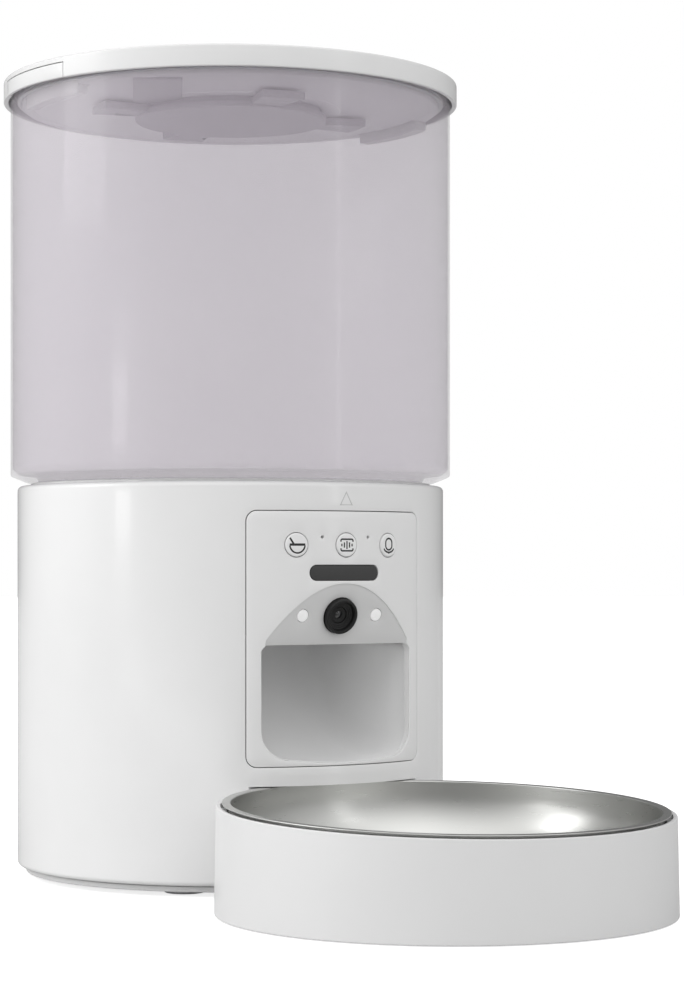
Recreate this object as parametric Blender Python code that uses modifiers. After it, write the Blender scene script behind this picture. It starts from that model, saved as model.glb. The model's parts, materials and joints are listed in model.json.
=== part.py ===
"""Pet feeder with camera: a cylindrical dry-food dispenser with its bowl, as separate pieces.

Metres, +Z up. The feeder faces -Y, and x = 0 is its middle plane. The origin is on the floor,
at the middle of the whole object's box. Angles round the body are counted from the front (-Y)
towards +X, and "ahead" is a distance from the body's axis towards the front.
"""

import math

import bmesh
import bpy
from mathutils import Vector

# General clearances and facets
GAP = 0.0003
OVERRUN = 0.0040
WELD = 0.000001
MERGE = 0.00001
ARC_STEPS = 4
ARC_UNIT = 0.0012
TURN_STEPS = 36
MIDDLE_STEPS = 24
SMALL_STEPS = 16
TINY_STEPS = 10
HOLE_STEPS = 6

# Body housing
BODY_R = 0.0860
BODY_BOTTOM = 0.0040
BODY_WALL = 0.0026
BODY_EDGE = 0.0020
NECK_SETBACK = 0.0073
SEAT_RING_WIDTH = 0.0016
SEAT_RING_RISE = 0.0010

# Bowl tray and steel bowl
BOWL_OVERLAP = 0.0176
TRAY_INSET = 0.0032
TRAY_DRAFT = 0.0006
TRAY_RIM_Z = 0.0374
RIM_SLOPE = 0.0354
TRAY_WALL = 0.0024
TRAY_RIM_WALL = 0.0018
TRAY_RIM_EDGE = 0.0007
TRAY_FOOT_EDGE = 0.0014
TRAY_FOOT_WALL = 0.0030
TRAY_FLOOR_RISE = 0.0020
TRAY_FLOOR = 0.0022
TRAY_INNER_EDGE = 0.0020
SHELF_DROP = 0.0019
SHELF_WIDTH = 0.0022
SHELF_THICKNESS = 0.0021
LIP_WIDTH = 0.0026
STEEL = 0.0008
LIP_DROP = 0.0007
DISH_DEPTH = 0.0290
DISH_EDGE = 0.0260

# Alcove for the tray in the front of the body
ALCOVE_CLEARANCE = 0.0003
ALCOVE_HEADROOM = 0.0039

# Hopper tank
HOPPER_OVERHANG = 0.00275
HOPPER_HEIGHT = 0.1556
HOPPER_SEAT = 0.0013
HOPPER_WALL = 0.0024
HOPPER_EDGE = 0.0012
HOPPER_BEVEL_RISE = 0.0028
HOPPER_BEVEL_REACH = 0.0062
HOPPER_FLOOR_RISE = 0.0020
NECK_DROP = 0.0035
NECK_INNER_SLOPE = 0.0023
THROAT_R = 0.0360
THROAT_WALL = 0.0022
FUNNEL_DROP = 0.0260
THROAT_LENGTH = 0.0030

# Lid
LID_OVERHANG = 0.00275
LID_RISE = 0.0051
LID_RIM = 0.0082
LID_WALL = 0.0020
LID_PLATE = 0.0022
LID_EDGE = 0.0008
LINER_CLEARANCE = 0.00215
LINER_DROP = 0.0046
LINER_PLATE = 0.0018
LINER_WALL = 0.0016
LINER_EDGE = 0.0010
SEAL_HEIGHT = 0.0022
SEAL_LIP = 0.0005

# Lid latches
LATCH_SPAN = math.radians(30.4)
LATCH_TAB = 0.0012
LATCH_TAB_HEIGHT = 0.0057
LATCH_BRIDGE = 0.0018
LATCH_TRAVEL = 0.0012
LATCH_SIDE_GAP = 0.0006
HOOK_INSET = 0.0002
HOOK_DEPTH = 0.0050
HOOK_DROP = 0.0035

# Desiccant box
CAP_R = 0.0387
CAP_DROP = 0.0043
CAP_PLATE = 0.0022
CAP_WALL = 0.0016
CAP_EDGE = 0.0008
CAP_NECK_R = 0.0365
CAP_NECK_RISE = 0.0030
LUG_REACH = 0.0180
LUG_SPAN = math.radians(18.0)
LUG_HEIGHT = 0.0028
LUG_ANGLE = math.radians(-9.0)
LUG_COUNT = 4
BAG_HEIGHT = 0.0046
BAG_EDGE = 0.0018

# Front panel
PANEL_HALF = 0.0386
PANEL_MARGIN = 0.0127
PANEL_CORNER = 0.0040
MOUTH_HALF = 0.0331
MOUTH_DROP = 0.0033
MOUTH_HEIGHT = 0.0450
MOUTH_CORNER_RISE = 0.0031
LIP_HEIGHT = 0.0004
MOUTH_TOP_CORNER = 0.0034
MOUTH_CORNER = 0.0090
MOUTH_DIP = 0.1300
BUTTON_ANGLE = math.radians(13.9)
BUTTON_LIFT = 0.0105
BUTTON_R = 0.0046
BUTTON_RISE = 0.0004
BUTTON_FLANGE = 0.0010
BUTTON_FLANGE_THICKNESS = 0.0012
BUTTON_STEM_R = 0.0016
BUTTON_TRAVEL = 0.0006
BUTTON_EDGE = 0.0004
PIN_HOLE_ANGLE = math.radians(6.85)
PIN_HOLE_LIFT = 0.0030
PIN_HOLE_R = 0.0006
WINDOW_HALF = 0.0155
WINDOW_LIFT = 0.0042
WINDOW_HEIGHT = 0.0061
WINDOW_CORNER = 0.0029
WINDOW_RECESS = 0.0001
WINDOW_THICKNESS = 0.0020

# Slanted camera plate
ARCH_HEIGHT = 0.0230
ARCH_FOOT_RISE = 0.00083
PLATE_THICKNESS = 0.0022
ARCH_STEPS = 10
LENS_LIFT = 0.0110
BEZEL_R = 0.00685
BEZEL_RISE = 0.0022
BEZEL_DEPTH = 0.0034
BEZEL_BORE = 0.0033
BEZEL_LIP = 0.0009
LENS_DOME = 0.0006
LENS_DEPTH = 0.0030
IR_OFFSET = 0.0165
IR_R = 0.0024
IR_DEPTH = 0.0030
IR_RISE = 0.0002
BARREL_R = 0.0052
BARREL_LENGTH = 0.0034
CAMERA_BOARD = 0.0165
CAMERA_BOARD_THICKNESS = 0.0012

# Button board and display
BOARD_SETBACK = 0.0110
BOARD_THICKNESS = 0.0016
BOARD_HALF = 0.0270
BOARD_BELOW_WINDOW = 0.0052
BOARD_ABOVE_BUTTONS = 0.0108
BOARD_POST_X = 0.0245
BOARD_POST_R = 0.0018
BOARD_POST_INSET = 0.0030
SWITCH_SIZE = 0.0060
SWITCH_HEIGHT = 0.0014
PLUNGER_R = 0.0015
PLUNGER_HEIGHT = 0.0010
DISPLAY_HALF = 0.0140
DISPLAY_HEIGHT = 0.0080
DISPLAY_CORNER = 0.0008

# Chute
CHUTE_PIVOT_SETBACK = 0.0160
CHUTE_WALL = 0.0018
CHUTE_STEPS = 8
ROOF_POWER = 4
THROAT_HALF = 0.0250
OUTLET_MARGIN_FRONT = 0.0015
OUTLET_MARGIN_REAR = 0.0045
THROAT_DIP_SHARE = 0.02

# Feed deck, chamber and rotor
DECK_HEIGHT = 0.0584
DECK_FLOOR = 0.0020
DECK_WALL = 0.0022
DECK_RIM_THICKNESS = 0.0024
DECK_FLANGE_R = 0.0575
CHAMBER_R = 0.0495
CONE_CLEARANCE = 0.00045
OUTLET_INNER_R = 0.0270
OUTLET_OUTER_R = 0.0460
OUTLET_SPAN = math.radians(60.0)
COVER_THICKNESS = 0.0020
INLET_R = 0.0330
INLET_SPAN = math.radians(270.0)
ROTOR_R = 0.0475
ROTOR_HEIGHT = 0.0243
ROTOR_CLEARANCE = 0.0010
ROTOR_HUB_R = 0.0090
ROTOR_HUB_TIP_R = 0.0050
ROTOR_HUB_RISE = 0.0070
BLADE_COUNT = 6
BLADE_THICKNESS = 0.0022
BLADE_ROOT_THICKNESS = 0.0040
SHAFT_R = 0.0030
SHAFT_RISE = 0.0187

# Gearbox and motor
GEAR_MODULE = 0.00125
WHEEL_TEETH = 24
PINION_TEETH = 8
ADDENDUM_SHARE = 0.80
DEDENDUM_SHARE = 1.10
TOOTH_ROOT_SHARE = 0.62
TOOTH_TIP_SHARE = 0.24
GEAR_SPACING = 0.0203
GEARBOX_HEIGHT = 0.0220
GEARBOX_WALL = 0.0018
GEARBOX_COVER = 0.0020
GEARBOX_HALF = 0.0184
GEARBOX_REAR_CORNER = 0.0140
GEARBOX_REAR_REACH = 0.0145
LOWER_GEAR = 0.0055
LOWER_GEAR_LIFT = 0.0010
UPPER_GEAR_LIFT = 0.0011
AXLE_R = 0.0015
MOTOR_R = 0.0120
MOTOR_LENGTH = 0.0280
MOTOR_CLEARANCE = 0.0054
MOTOR_EDGE = 0.0015
MOTOR_BOSS_R = 0.0030
MOTOR_SHAFT_R = 0.0010
MOTOR_SHAFT_DEPTH = 0.0180

# Base plate and feet
BASE_INSET = 0.0034
BASE_Z = 0.0015
BASE_THICKNESS = 0.0022
BASE_EDGE = 0.0005
BASE_SETBACK = 0.0006
FOOT_R = 0.0080
FOOT_HEIGHT = 0.0012
FOOT_EDGE = 0.0004
FOOT_INSET = 0.0160
FOOT_ANGLE = math.radians(45.0)
POST_INSET = 0.0100
POST_R = 0.0040
POST_HEIGHT = 0.0160
POST_WEB = 0.0020
POST_FRONT_ANGLE = math.radians(70.0)
POST_REAR_ANGLE = math.radians(165.0)
SCREW_R = 0.0015
SCREW_LENGTH = 0.0110
SCREW_HEAD_R = 0.0028
SCREW_HEAD_HEIGHT = 0.0010
SCREW_HEAD_INSET = 0.0003

# Battery bay and cells
CELL_R = 0.0165
CELL_LENGTH = 0.0612
CELL_GAP = 0.0006
CELL_LIFT = 0.0006
CELL_NUB_R = 0.0045
CELL_NUB = 0.0012
STRIP_THICKNESS = 0.0005
STRIP_INSET = 0.0041
STRIP_HEIGHT = 0.0180
BAY_AHEAD = -0.0010
BAY_WALL = 0.0020
BAY_HEADROOM = 0.0005
HATCH_SIDE_INSET = 0.0001
HATCH_END_INSET = 0.0001
HATCH_CORNER = 0.0030
DOOR_RIB = 0.0012
DOOR_RIB_WIDTH = 0.0015
DOOR_RIB_HALF = 0.0400
DOOR_RIB_OFFSET = 0.0170
DOOR_GRIP_HALF = 0.0090
DOOR_GRIP_WIDTH = 0.0060
DOOR_GRIP_DEPTH = 0.0008

# Main board
MAIN_HALF = 0.0450
MAIN_REAR = -0.0240
MAIN_FRONT = 0.0310
CHIP_SIZE = 0.0140
CHIP_HEIGHT = 0.0016
CHIP_X = -0.0180
CAPACITOR_R = 0.0040
CAPACITOR_HEIGHT = 0.0045
CAPACITOR_X = 0.0240
PLUG_LENGTH = 0.0120
PLUG_WIDTH = 0.0060
PLUG_HEIGHT = 0.0050
PLUG_X = 0.0000
PLUG_AHEAD = -0.0140

# Speaker and power jack
SPEAKER_SHARE = 0.308
SPEAKER_MIDDLE_SHARE = 0.3963
SPEAKER_SIDE_SHARE = 2.0
SPEAKER_RIM = 0.0030
SPEAKER_HEIGHT = 0.0100
SPEAKER_MAGNET_SHARE = 0.533
SPEAKER_HOLE_R = 0.0014
SPEAKER_HOLE_SHARE = 0.467
SPEAKER_HOLE_COUNT = 6
JACK_HALF = 0.0045
JACK_HEIGHT = 0.0110
JACK_Z = 0.0130
JACK_LENGTH = 0.0140
JACK_INSET = 0.0007
JACK_BORE_R = 0.0031
JACK_BORE_DEPTH = 0.0100

# Radii that follow from the body's and the tray's
BODY_IN_R = BODY_R - BODY_WALL
NECK_R = BODY_R - NECK_SETBACK
MOUTH_OPEN_R = NECK_R + GAP
HOPPER_R = BODY_R + HOPPER_OVERHANG
LID_R = HOPPER_R + LID_OVERHANG
LINER_R = HOPPER_R - HOPPER_WALL - LINER_CLEARANCE
HOOK_R = LINER_R - HOOK_INSET
BASE_R = BODY_R - BASE_INSET
FOOT_CIRCLE = BODY_R - FOOT_INSET
POST_CIRCLE = BODY_R - POST_INSET
TRAY_BASE_R = BODY_R - TRAY_INSET
TRAY_RIM_R = TRAY_BASE_R - TRAY_DRAFT
BOWL_AHEAD = BODY_R + TRAY_BASE_R - BOWL_OVERLAP
BODY_Y = (BOWL_AHEAD + TRAY_BASE_R - LID_R) / 2
BOARD_AHEAD = BODY_R - BOARD_SETBACK
CHUTE_PIVOT_AHEAD = BODY_R - CHUTE_PIVOT_SETBACK
THROAT_NEAR = CHUTE_PIVOT_AHEAD - OUTLET_OUTER_R - OUTLET_MARGIN_FRONT
THROAT_FAR = CHUTE_PIVOT_AHEAD - OUTLET_INNER_R + OUTLET_MARGIN_REAR

# Heights, stacked up from the floor: cells, board, motor, gearbox, rotor, funnel, tank and lid
PLATE_TOP = BASE_Z + BASE_THICKNESS
ALCOVE_TOP = TRAY_RIM_Z + ALCOVE_HEADROOM
CELL_Z = PLATE_TOP + DOOR_RIB + CELL_LIFT + CELL_R
BAY_TOP = CELL_Z + CELL_R + BAY_HEADROOM
BOARD_Z = BAY_TOP + BAY_WALL + GAP
GEARBOX_FLOOR_Z = BOARD_Z + MOTOR_CLEARANCE + MOTOR_LENGTH + GAP
GEARBOX_TOP = GEARBOX_FLOOR_Z + GEARBOX_HEIGHT
GEARBOX_RIM = GEARBOX_TOP - GEARBOX_COVER - GAP
GEARBOX_INSIDE = GEARBOX_FLOOR_Z + GEARBOX_WALL
LOWER_GEAR_Z = GEARBOX_INSIDE + LOWER_GEAR_LIFT
LOWER_GEAR_TOP = LOWER_GEAR_Z + LOWER_GEAR
UPPER_GEAR_Z = LOWER_GEAR_TOP + UPPER_GEAR_LIFT
UPPER_GEAR_TOP = GEARBOX_RIM - LOWER_GEAR_LIFT
DECK_FLOOR_Z = GEARBOX_TOP + GAP
CHAMBER_FLOOR = DECK_FLOOR_Z + DECK_FLOOR
SHAFT_TOP = CHAMBER_FLOOR + SHAFT_RISE
ROTOR_Z = CHAMBER_FLOOR + ROTOR_CLEARANCE
COVER_Z = ROTOR_Z + ROTOR_HEIGHT + ROTOR_CLEARANCE
BODY_TOP = DECK_FLOOR_Z + DECK_HEIGHT
DECK_TOP = BODY_TOP - BODY_WALL - GAP
HOPPER_BOTTOM = BODY_TOP + HOPPER_SEAT
HOPPER_TOP = HOPPER_BOTTOM + HOPPER_HEIGHT
THROAT_Z = HOPPER_BOTTOM - FUNNEL_DROP
THROAT_BOTTOM = THROAT_Z - THROAT_LENGTH
CONE_SLOPE = (HOPPER_BOTTOM - NECK_DROP - THROAT_Z) / (NECK_R - THROAT_R)
LID_TOP = HOPPER_TOP + LID_RISE
SEAL_Z = LID_TOP - LID_RIM
LINER_Z = HOPPER_TOP - LINER_DROP
CAP_Z = LINER_Z - CAP_DROP
CAP_NECK_TOP = LINER_Z + CAP_NECK_RISE

# Heights on the front panel, which follow the rotor chamber's floor
MOUTH_TOP = DECK_FLOOR_Z - MOUTH_DROP
MOUTH_DIP_Z = MOUTH_TOP - MOUTH_HEIGHT
MOUTH_CORNER_Z = MOUTH_DIP_Z + MOUTH_CORNER_RISE
PANEL_BOTTOM = MOUTH_DIP_Z - LIP_HEIGHT
LENS_Z = MOUTH_TOP + LENS_LIFT
ARCH_TOP = MOUTH_TOP + ARCH_HEIGHT
WINDOW_Z = ARCH_TOP + WINDOW_LIFT
BUTTON_Z = WINDOW_Z + BUTTON_LIFT
PIN_HOLE_Z = BUTTON_Z + PIN_HOLE_LIFT
PANEL_TOP = BUTTON_Z + PANEL_MARGIN
BOARD_BOTTOM = WINDOW_Z - BOARD_BELOW_WINDOW
BOARD_TOP = BUTTON_Z + BOARD_ABOVE_BUTTONS

# The plate leans so that its curved edge ends just above the mouth's upper corners
ARCH_HALF = MOUTH_HALF - MOUTH_TOP_CORNER / 4
ARCH_DEPTH = BODY_R - math.sqrt(BODY_R**2 - ARCH_HALF**2)
PLATE_TILT = math.atan(ARCH_DEPTH / (ARCH_HEIGHT - ARCH_FOOT_RISE))
LENS_AHEAD = BODY_R - (ARCH_TOP - LENS_Z) * math.tan(PLATE_TILT)

# Places round the cells, the motor and the speaker
MOTOR_AHEAD = -2 * GEAR_SPACING
CELL_SPACING = 2 * CELL_R + CELL_GAP
BAY_HALF = CELL_SPACING + CELL_R + BAY_HEADROOM
BAY_HALF_LENGTH = CELL_LENGTH / 2 + STRIP_THICKNESS + 2 * GAP
STRIP_HALF = CELL_SPACING + CELL_R - STRIP_INSET
HATCH_HALF = CELL_SPACING + CELL_R - HATCH_SIDE_INSET
HATCH_HALF_LENGTH = CELL_LENGTH / 2 - HATCH_END_INSET
BAY_REAR = BAY_AHEAD - BAY_HALF_LENGTH - BAY_WALL
SPEAKER_ROOM = BODY_IN_R + BAY_REAR
SPEAKER_R = SPEAKER_SHARE * SPEAKER_ROOM
SPEAKER_X = -SPEAKER_SIDE_SHARE * SPEAKER_R
SPEAKER_AHEAD = BAY_REAR - SPEAKER_MIDDLE_SHARE * SPEAKER_ROOM
SPEAKER_MAGNET_R = SPEAKER_MAGNET_SHARE * SPEAKER_R
SPEAKER_HOLE_CIRCLE = SPEAKER_HOLE_SHARE * SPEAKER_R

# Finishes: colour, roughness, metallic, alpha
FINISHES = {
    "white": ((0.86, 0.86, 0.86), 0.22, 0.0, 1.0),
    "grey": ((0.55, 0.55, 0.56), 0.40, 0.0, 1.0),
    "plate_grey": ((0.50, 0.50, 0.50), 0.35, 0.0, 1.0),
    "tank": ((0.66, 0.62, 0.68), 0.12, 0.0, 0.45),
    "steel": ((0.58, 0.58, 0.56), 0.28, 1.0, 1.0),
    "rod_steel": ((0.50, 0.50, 0.50), 0.30, 1.0, 1.0),
    "black": ((0.015, 0.015, 0.016), 0.25, 0.0, 1.0),
    "glass": ((0.02, 0.02, 0.025), 0.05, 0.0, 1.0),
    "screen": ((0.06, 0.06, 0.06), 0.30, 0.0, 1.0),
    "rubber": ((0.40, 0.40, 0.41), 0.70, 0.0, 1.0),
    "silicone": ((0.75, 0.75, 0.73), 0.55, 0.0, 1.0),
    "acetal": ((0.80, 0.79, 0.74), 0.40, 0.0, 1.0),
    "board": ((0.02, 0.16, 0.07), 0.45, 0.0, 1.0),
    "cell": ((0.10, 0.10, 0.11), 0.35, 0.3, 1.0),
    "paper": ((0.85, 0.85, 0.82), 0.80, 0.0, 1.0),
}


def clear_scene():
    for obj in list(bpy.data.objects):
        bpy.data.objects.remove(obj, do_unlink=True)


def new_collection(name):
    collection = bpy.data.collections.new(name)
    bpy.context.scene.collection.children.link(collection)
    return collection


clear_scene()
PARTS = new_collection("pet_feeder_with_camera")
CUTTERS = new_collection("cutters")


# Helpers for objects, materials and Booleans
def finish(obj, look):
    colour, roughness, metallic, alpha = FINISHES[look]
    material = bpy.data.materials.new(obj.name + "_" + look)
    material.use_nodes = True
    shader = material.node_tree.nodes["Principled BSDF"]
    shader.inputs["Base Color"].default_value = (*colour, 1.0)
    shader.inputs["Roughness"].default_value = roughness
    shader.inputs["Metallic"].default_value = metallic
    shader.inputs["Alpha"].default_value = alpha
    material.diffuse_color = (*colour, alpha)
    obj.data.materials.clear()
    obj.data.materials.append(material)


def add_object(name, mesh, look):
    """A look makes the object a part, and no look makes it a cutter."""
    obj = bpy.data.objects.new(name, mesh)
    if look:
        PARTS.objects.link(obj)
        finish(obj, look)
    else:
        CUTTERS.objects.link(obj)
        obj.hide_render = True
        obj.display_type = "WIRE"
    return obj


def add_boolean(target, other, operation):
    modifier = target.modifiers.new(operation.lower() + "_" + other.name, "BOOLEAN")
    modifier.object = other
    modifier.operation = operation
    modifier.solver = "EXACT"
    return target


def cut(target, *others):
    for other in others:
        add_boolean(target, other, "DIFFERENCE")
    return target


def unite(target, *others):
    for other in others:
        add_boolean(target, other, "UNION")
    return target


def keep(target, other):
    return add_boolean(target, other, "INTERSECT")


def smooth(mesh):
    mesh.shade_smooth()
    mesh.set_sharp_from_angle(angle=math.radians(32))


def baked(obj):
    """The object with its modifiers and curve turned into one welded mesh."""
    bpy.context.view_layer.update()
    graph = bpy.context.evaluated_depsgraph_get()
    mesh = bpy.data.meshes.new_from_object(obj.evaluated_get(graph))
    shell = bmesh.new()
    shell.from_mesh(mesh)
    bmesh.ops.remove_doubles(shell, verts=shell.verts, dist=WELD)
    bmesh.ops.recalc_face_normals(shell, faces=shell.faces)
    shell.to_mesh(mesh)
    shell.free()
    return mesh


def place(obj, x=0, ahead=0, z=0, rotation=(0, 0, 0), parent=None):
    """Sets an object at a distance ahead of the body's axis, or at a place under its parent."""
    obj.rotation_euler = rotation
    if parent:
        obj.parent = parent
        obj.location = (x, ahead, z)
    else:
        obj.location = (x, BODY_Y - ahead, z)
    return obj


def ahead_and_side(radius, angle):
    return radius * math.cos(angle), radius * math.sin(angle)


# Helpers for outlines
def arc(centre, radius, start, end, steps):
    points = []
    for step in range(steps + 1):
        angle = start + (end - start) * step / steps
        points.append((centre[0] + radius * math.cos(angle), centre[1] + radius * math.sin(angle)))
    return points


def rounded(corners, closed=True):
    """Points of an outline through corners (x, y, radius), each corner with its own arc."""
    points = []
    last = len(corners) - 1
    for index, (x, y, radius) in enumerate(corners):
        end_point = not closed and index in (0, last)
        if radius == 0 or end_point:
            points.append((x, y))
            continue
        here = Vector((x, y))
        before = (Vector(corners[index - 1][:2]) - here).normalized()
        after = (Vector(corners[(index + 1) % (last + 1)][:2]) - here).normalized()
        half = before.angle(after) / 2
        centre = here + (before + after).normalized() * radius / math.sin(half)
        start = here + before * radius / math.tan(half) - centre
        sweep = Vector(start).angle_signed(here + after * radius / math.tan(half) - centre)
        angle = math.atan2(start.y, start.x)
        steps = max(1, min(ARC_STEPS, round(math.sqrt(radius / ARC_UNIT))))
        points += arc(centre, radius, angle, angle - sweep, steps)
    return points


def box_outline(left, right, low, high, corner=0):
    return rounded([(left, low, corner), (right, low, corner), (right, high, corner), (left, high, corner)])


def sector_outline(inner, outer, middle, span, steps=HOLE_STEPS):
    """Ring sector seen from above: the front is -Y, and middle is its angle round the body."""
    start = middle - span / 2 - math.pi / 2
    end = middle + span / 2 - math.pi / 2
    outside = arc((0, 0), outer, start, end, steps)
    inside = arc((0, 0), inner, end, start, steps) if inner else [(0, 0)]
    return outside + inside


# Helpers for solids
def turned(name, outline, look, steps=TURN_STEPS, closed=False):
    """A profile of (radius, height) that runs down its outer side, turned about local Z."""
    mesh = bpy.data.meshes.new(name)
    count = len(outline)
    edges = [(index, index + 1) for index in range(count - 1)]
    if closed:
        edges.append((count - 1, 0))
    mesh.from_pydata([(radius, 0, height) for radius, height in outline], edges, [])
    obj = add_object(name, mesh, look)
    screw = obj.modifiers.new("turn", "SCREW")
    screw.steps = steps
    screw.render_steps = steps
    screw.use_merge_vertices = True
    screw.merge_threshold = MERGE
    screw.use_smooth_shade = True
    return obj


def drum(name, radius, low, high, look, steps=SMALL_STEPS):
    return turned(name, [(0, high), (radius, high), (radius, low), (0, low)], look, steps)


def extruded(name, outline, low, high, look, holes=()):
    """A flat outline in local XY, raised from low to high along local Z."""
    curve = bpy.data.curves.new(name, "CURVE")
    curve.dimensions = "2D"
    curve.fill_mode = "BOTH"
    curve.extrude = (high - low) / 2
    for ring in (outline, *holes):
        spline = curve.splines.new("POLY")
        spline.points.add(len(ring) - 1)
        for point, (x, y) in zip(spline.points, ring):
            point.co = (x, y, 0, 1)
        spline.use_cyclic_u = True
    flat = bpy.data.objects.new(name + "_outline", curve)
    CUTTERS.objects.link(flat)
    mesh = baked(flat)
    bpy.data.objects.remove(flat)
    for vertex in mesh.vertices:
        vertex.co.z += (high + low) / 2
    smooth(mesh)
    return add_object(name, mesh, look)


def front_prism(name, outline, near, far, look):
    """An outline in x and z, extruded from near to far ahead of the body's axis."""
    prism = extruded(name, outline, near, far, look)
    return place(prism, rotation=(math.radians(90), 0, 0))


def block(name, left, right, rear, front, low, high, look, corner=0):
    """An upright block, whose rear and front are distances ahead of the body's axis."""
    solid = extruded(name, box_outline(left, right, -front, -rear, corner), low, high, look)
    return place(solid)


def lofted(name, rings, look):
    """A solid through rings of equally many points, closed at both ends."""
    shell = bmesh.new()
    loops = [[shell.verts.new(point) for point in ring] for ring in rings]
    count = len(rings[0])
    for here, after in zip(loops, loops[1:]):
        for index in range(count):
            following = (index + 1) % count
            shell.faces.new((here[index], here[following], after[following], after[index]))
    shell.faces.new(loops[0])
    shell.faces.new(loops[-1])
    bmesh.ops.recalc_face_normals(shell, faces=shell.faces)
    mesh = bpy.data.meshes.new(name)
    shell.to_mesh(mesh)
    shell.free()
    smooth(mesh)
    return add_object(name, mesh, look)


def radial(obj, angle, z):
    """Points local +Z outwards along a radius of the body, from the body's axis."""
    return place(obj, z=z, rotation=(math.radians(90), 0, angle))


def upright_at(obj, radius, angle):
    ahead, side = ahead_and_side(radius, angle)
    return place(obj, x=side, ahead=ahead)


# Body housing
def alcove_cutter(name, grow, top):
    radius = TRAY_BASE_R + ALCOVE_CLEARANCE + grow
    return place(drum(name, radius, -OVERRUN, top, None, TURN_STEPS), ahead=BOWL_AHEAD)


def housing_core():
    inside = [
        (0, BODY_TOP + OVERRUN),
        (MOUTH_OPEN_R, BODY_TOP + OVERRUN),
        (MOUTH_OPEN_R, BODY_TOP - BODY_WALL),
        (BODY_IN_R, BODY_TOP - BODY_WALL),
        (BODY_IN_R, -OVERRUN),
        (0, -OVERRUN),
    ]
    core = place(turned("housing_core", inside, None))
    return cut(core, alcove_cutter("alcove_wall", BODY_WALL, ALCOVE_TOP + BODY_WALL))


def screw_places():
    return {
        "front_left": -POST_FRONT_ANGLE,
        "front_right": POST_FRONT_ANGLE,
        "rear_left": -POST_REAR_ANGLE,
        "rear_right": POST_REAR_ANGLE,
    }


def screw_post(name, angle):
    post = drum("post_" + name, POST_R, BODY_BOTTOM, BODY_BOTTOM + POST_HEIGHT, None, TINY_STEPS)
    upright_at(post, POST_CIRCLE, angle)
    web_outline = box_outline(-POST_WEB / 2, POST_WEB / 2, -BODY_IN_R - BODY_WALL / 2, -POST_CIRCLE)
    web = extruded("web_" + name, web_outline, BODY_BOTTOM + BODY_EDGE, BODY_BOTTOM + POST_HEIGHT - GAP, None)
    place(web, rotation=(0, 0, angle))
    hole_top = BODY_BOTTOM + SCREW_LENGTH + OVERRUN / 2
    hole = drum("post_hole_" + name, SCREW_R + GAP, 0, hole_top, None, TINY_STEPS)
    upright_at(hole, POST_CIRCLE, angle)
    return cut(unite(post, web), hole)


def jack_hole():
    side = JACK_HALF + GAP
    half = JACK_HEIGHT / 2 + GAP
    outline = box_outline(-side, side, JACK_Z - half, JACK_Z + half)
    return front_prism("jack_hole", outline, -BODY_R - OVERRUN, -BODY_IN_R + OVERRUN, None)


def body_housing():
    seat_r = MOUTH_OPEN_R + SEAT_RING_WIDTH
    outside = rounded(
        [
            (0, BODY_TOP + SEAT_RING_RISE, 0),
            (seat_r, BODY_TOP + SEAT_RING_RISE, 0),
            (seat_r, BODY_TOP, 0),
            (BODY_R, BODY_TOP, BODY_EDGE),
            (BODY_R, BODY_BOTTOM, BODY_EDGE),
            (0, BODY_BOTTOM, 0),
        ],
        closed=False,
    )
    housing = place(turned("body_housing", outside, "white"))
    opening = front_prism("panel_opening", panel_outline(GAP), BODY_IN_R / 2, BODY_R + OVERRUN, None)
    cut(housing, alcove_cutter("alcove", 0, ALCOVE_TOP), housing_core(), opening, jack_hole())
    for name, angle in screw_places().items():
        unite(housing, screw_post(name, angle))
    return housing


# Front panel with its openings
def panel_outline(grow):
    side = PANEL_HALF + grow
    return box_outline(-side, side, PANEL_BOTTOM - grow, PANEL_TOP + grow, PANEL_CORNER + grow)


def mouth_corners(side, top, dip):
    """The mouth's five corners: a straight top, rounded lower corners and a gently dipping lip."""
    return [
        (-side, top, MOUTH_TOP_CORNER),
        (-side, dip + MOUTH_CORNER_Z - MOUTH_DIP_Z, MOUTH_CORNER),
        (0, dip, MOUTH_DIP),
        (side, dip + MOUTH_CORNER_Z - MOUTH_DIP_Z, MOUTH_CORNER),
        (side, top, MOUTH_TOP_CORNER),
    ]


def arch_outline(side, bottom, grow):
    """Where the slanted plate meets the round body, seen from the front."""
    points = [(side, bottom), (-side, bottom)]
    for step in range(ARCH_STEPS + 1):
        x = -side + 2 * side * step / ARCH_STEPS
        depth = BODY_R - math.sqrt(BODY_R**2 - x**2)
        points.append((x, ARCH_TOP + grow - depth / math.tan(PLATE_TILT)))
    return points


def radial_hole(name, radius, angle, z):
    return radial(drum(name, radius, BODY_IN_R - OVERRUN, BODY_R + OVERRUN, None, SMALL_STEPS), angle, z)


def window_outline(shrink):
    side = WINDOW_HALF - shrink
    half = WINDOW_HEIGHT / 2 - shrink
    return box_outline(-side, side, WINDOW_Z - half, WINDOW_Z + half, WINDOW_CORNER - shrink)


def board_post(name, x, z):
    near = BOARD_AHEAD + GAP
    far = math.sqrt(BODY_IN_R**2 - x**2) + BODY_WALL / 2
    post = drum(name, BOARD_POST_R, near, far, None, TINY_STEPS)
    return place(post, x=x, z=z, rotation=(math.radians(90), 0, 0))


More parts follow.
